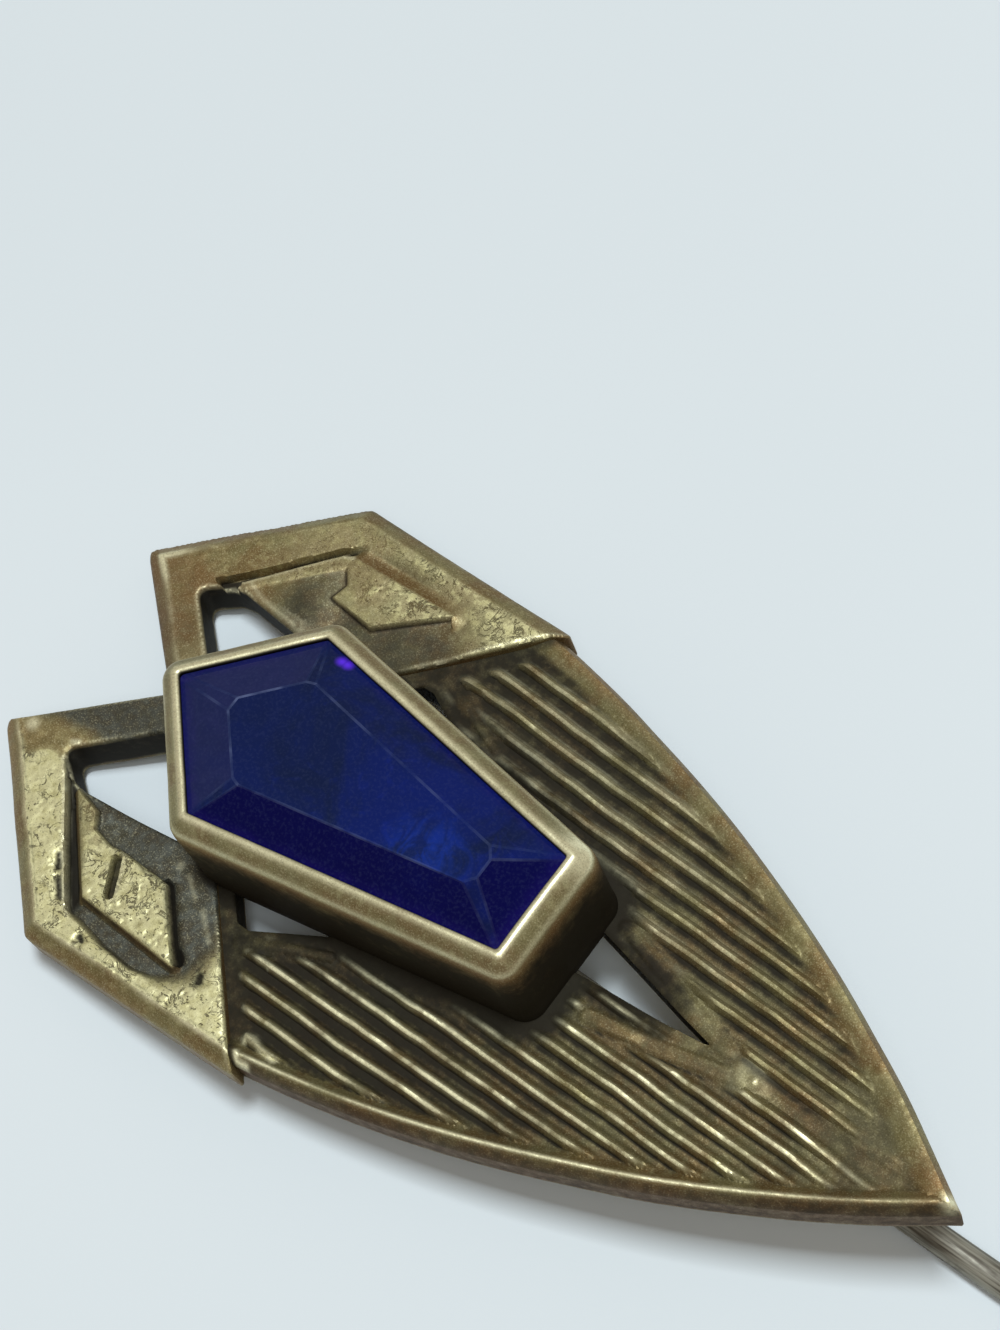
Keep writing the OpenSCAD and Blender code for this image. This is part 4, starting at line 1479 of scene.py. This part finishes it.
class PIN_OT_stone(bpy.types.Operator):
    """Cuts the faceted stone, with narrow worn edges between its facets"""
    bl_idname = "stick_pin.stone"
    bl_label = "Stone"

    def execute(self, context):
        stone = context.scene.pin_stone
        lip = stone.lip * MM
        rings = [at_height(moved_outline(out, cut, 2, [0] * 5), lip + z) for out, z, cut in STONE]
        points, faces = ring_solid(rings)
        bm = bmesh.new()
        edge = bm.faces.layers.float.new("wear_and_highlight")
        verts = [bm.verts.new(p) for p in points]
        for f in faces:
            bm.faces.new([verts[i] for i in f])
        bmesh.ops.recalc_face_normals(bm, faces=bm.faces)
        made = bmesh.ops.bevel(
            bm, geom=[e for e in bm.edges if e.calc_face_angle(0) > math.radians(8)],
            offset=stone.edge_wear * MM, segments=2, profile=0.5, affect="EDGES",
            clamp_overlap=True)
        for f in made["faces"]:
            f[edge] = 1.0
        many_sided = [f for f in bm.faces if len(f.verts) > 4]
        bmesh.ops.triangulate(bm, faces=many_sided, ngon_method="EAR_CLIP")
        bm.verts.index_update()
        places = np.array([v.co[:] for v in bm.verts])
        # In an order of their own, because that of the split facets changes from run to run
        facets = sorted(bm.faces, key=lambda f: [v.index for v in f.verts])
        polys = [tuple(v.index for v in f.verts) for f in facets]
        wear_and_highlight = np.array([f[edge] for f in facets])
        ways = np.array([f.normal[:] for f in facets])
        middles = np.array([f.calc_center_median()[:] for f in facets])
        bm.free()
        # The worn edges, partly painted highlight, are strongest round the table by the apex, and
        # weak between the crown's facets
        by_apex = 0.3 + 0.7 * (middles[:, 0] < x_of(10.3))
        # The two facets by the apex get a painted grey sheen, and the long one on the gilt side and
        # the end one painted shade
        long_one = ramp(0.1, 0.3, -ways[:, 1]) * (ways[:, 0] > 0)
        looks = {
            "wear_and_highlight": wear_and_highlight * np.where(middles[:, 2] > lip + 0.3, by_apex, 0.25),
            "grey": ramp(0.1, 0.3, -ways[:, 0]),
            "dark": np.maximum(long_one, ramp(0.2, 0.3, ways[:, 0])),
            # Copper carries the painted violet rim light along the girdle
            "copper": ramp(-0.1, -0.2, places[:, 2] - lip),
        }
        piece("stone_cut", in_row(places), polys, looks, stone_glass(), "stone", 1.0)
        return {"FINISHED"}


class PIN_OT_stem(bpy.types.Operator):
    """Draws the stem wire with its tapered point"""
    bl_idname = "stick_pin.stem"
    bl_label = "Stem"

    def execute(self, context):
        stem = context.scene.pin_stem
        start, end = (corner[0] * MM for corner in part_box("pin_stem"))
        radius = stem.diameter * MM / 2
        seat, point = stem.seat * MM, stem.point * MM
        blunt = WIRE_POINT[0][1]
        rows = [(start + d, radius * share) for d, share in WIRE_END] + [(start + seat, radius)]
        rows += [(x, radius) for x in np.arange(start + seat + WIRE_STEP, end - point, WIRE_STEP)]
        for t in np.linspace(0, 0.97, 14):
            rows.append((end - point + point * t, radius + (blunt - radius) * t))
        rows += [(end - d, r) for d, r in WIRE_POINT]
        ring = circle(WIRE_SIDES)
        points, faces = ring_solid([around_wire(x, ring * r, radius) for x, r in rows])
        # Shallow streaks along the wire, which only take metal off
        wear = 0.006 * rough(points * np.array([0.15, 1.0, 1.0]), 2.0, 141)
        spoke = (points - np.array([0, 0, radius])) * np.array([0, 1, 1])
        points = points - spoke * np.abs(wear)[:, None] / radius
        piece("stem_wire", points / MM, faces, {}, steel_wire(), "pin_stem")
        return {"FINISHED"}


class PIN_OT_stage(bpy.types.Operator):
    """Sets up the pale ground, the soft light and the camera"""
    bl_idname = "stick_pin.stage"
    bl_label = "Stage"

    def execute(self, context):
        scene = context.scene
        n = GROUND_LINES
        lines = np.linspace(-GROUND_HALF, GROUND_HALF, n)
        corners = [i * n + j for i in range(n - 1) for j in range(n - 1)]
        mesh = bpy.data.meshes.new("ground")
        mesh.from_pydata(
            [(x, y, 0.0) for x in lines for y in lines], [],
            [(k, k + n, k + n + 1, k + 1) for k in corners])
        mesh.materials.append(pale_ground())
        ground = put("ground", mesh)
        scene.world = bpy.data.worlds.new("soft_room")
        scene.world.use_nodes = True
        room = scene.world.node_tree.nodes["Background"]
        room.inputs[0].default_value = ROOM_TINT
        room.inputs[1].default_value = ROOM_STRENGTH
        for name, place, aim, side, watts, tint in LIGHTS:
            lamp = bpy.data.lights.new(name, "AREA")
            lamp.shape = "RECTANGLE"
            lamp.size = lamp.size_y = side
            lamp.energy = watts
            lamp.color = tint
            holder = put(name, lamp)
            holder.location = place
            way = Vector(aim) - Vector(place)
            holder.rotation_euler = way.to_track_quat("-Z", "Y").to_euler()
        camera = bpy.data.cameras.new("camera")
        camera.sensor_width = 36.0
        camera.sensor_fit = "HORIZONTAL"
        camera.lens = CAMERA_LENS
        camera.clip_start = 0.002
        camera.clip_end = 10.0
        scene.camera = put("camera", camera)
        scene.camera.matrix_world = Matrix.Translation(CAMERA_PLACE) @ Matrix(CAMERA_TURN).to_4x4()
        scene.view_settings.view_transform = "Standard"
        scene.view_settings.look = "None"
        return {"FINISHED"}


PIECES = (
    PIN_OT_stage, PIN_OT_shield, PIN_OT_wings, PIN_OT_bezel, PIN_OT_saddle, PIN_OT_stone,
    PIN_OT_stem,
)
GROUPS = (
    ("pin_head", PinHeadSizes), ("pin_stone", PinStoneSizes), ("pin_stem", PinStemSizes),
    ("pin_finish", PinFinish),
)


class PIN_PT_panel(bpy.types.Panel):
    """Sizes, finishes and pieces of the stick pin"""
    bl_idname = "PIN_PT_panel"
    bl_label = "Stick pin"
    bl_space_type = "VIEW_3D"
    bl_region_type = "UI"
    bl_category = "Stick pin"

    def draw(self, context):
        for name, group in GROUPS:
            box = self.layout.box()
            for key in group.__annotations__:
                box.prop(getattr(context.scene, name), key)
        for operator in PIECES:
            self.layout.operator(operator.bl_idname)


def register():
    for name, group in GROUPS:
        bpy.utils.register_class(group)
        setattr(bpy.types.Scene, name, bpy.props.PointerProperty(type=group))
    for kind in PIECES + (PIN_PT_panel,):
        bpy.utils.register_class(kind)


def unregister():
    for kind in (PIN_PT_panel,) + PIECES[::-1]:
        bpy.utils.unregister_class(kind)
    for name, group in GROUPS[::-1]:
        delattr(bpy.types.Scene, name)
        bpy.utils.unregister_class(group)


def main():
    register()
    bpy.ops.stick_pin.stage()
    bpy.ops.stick_pin.shield()
    bpy.ops.stick_pin.wings()
    bpy.ops.stick_pin.bezel()
    bpy.ops.stick_pin.saddle()
    bpy.ops.stick_pin.stone()
    bpy.ops.stick_pin.stem()
    bpy.context.view_layer.update()


if __name__ == "__main__":
    main()
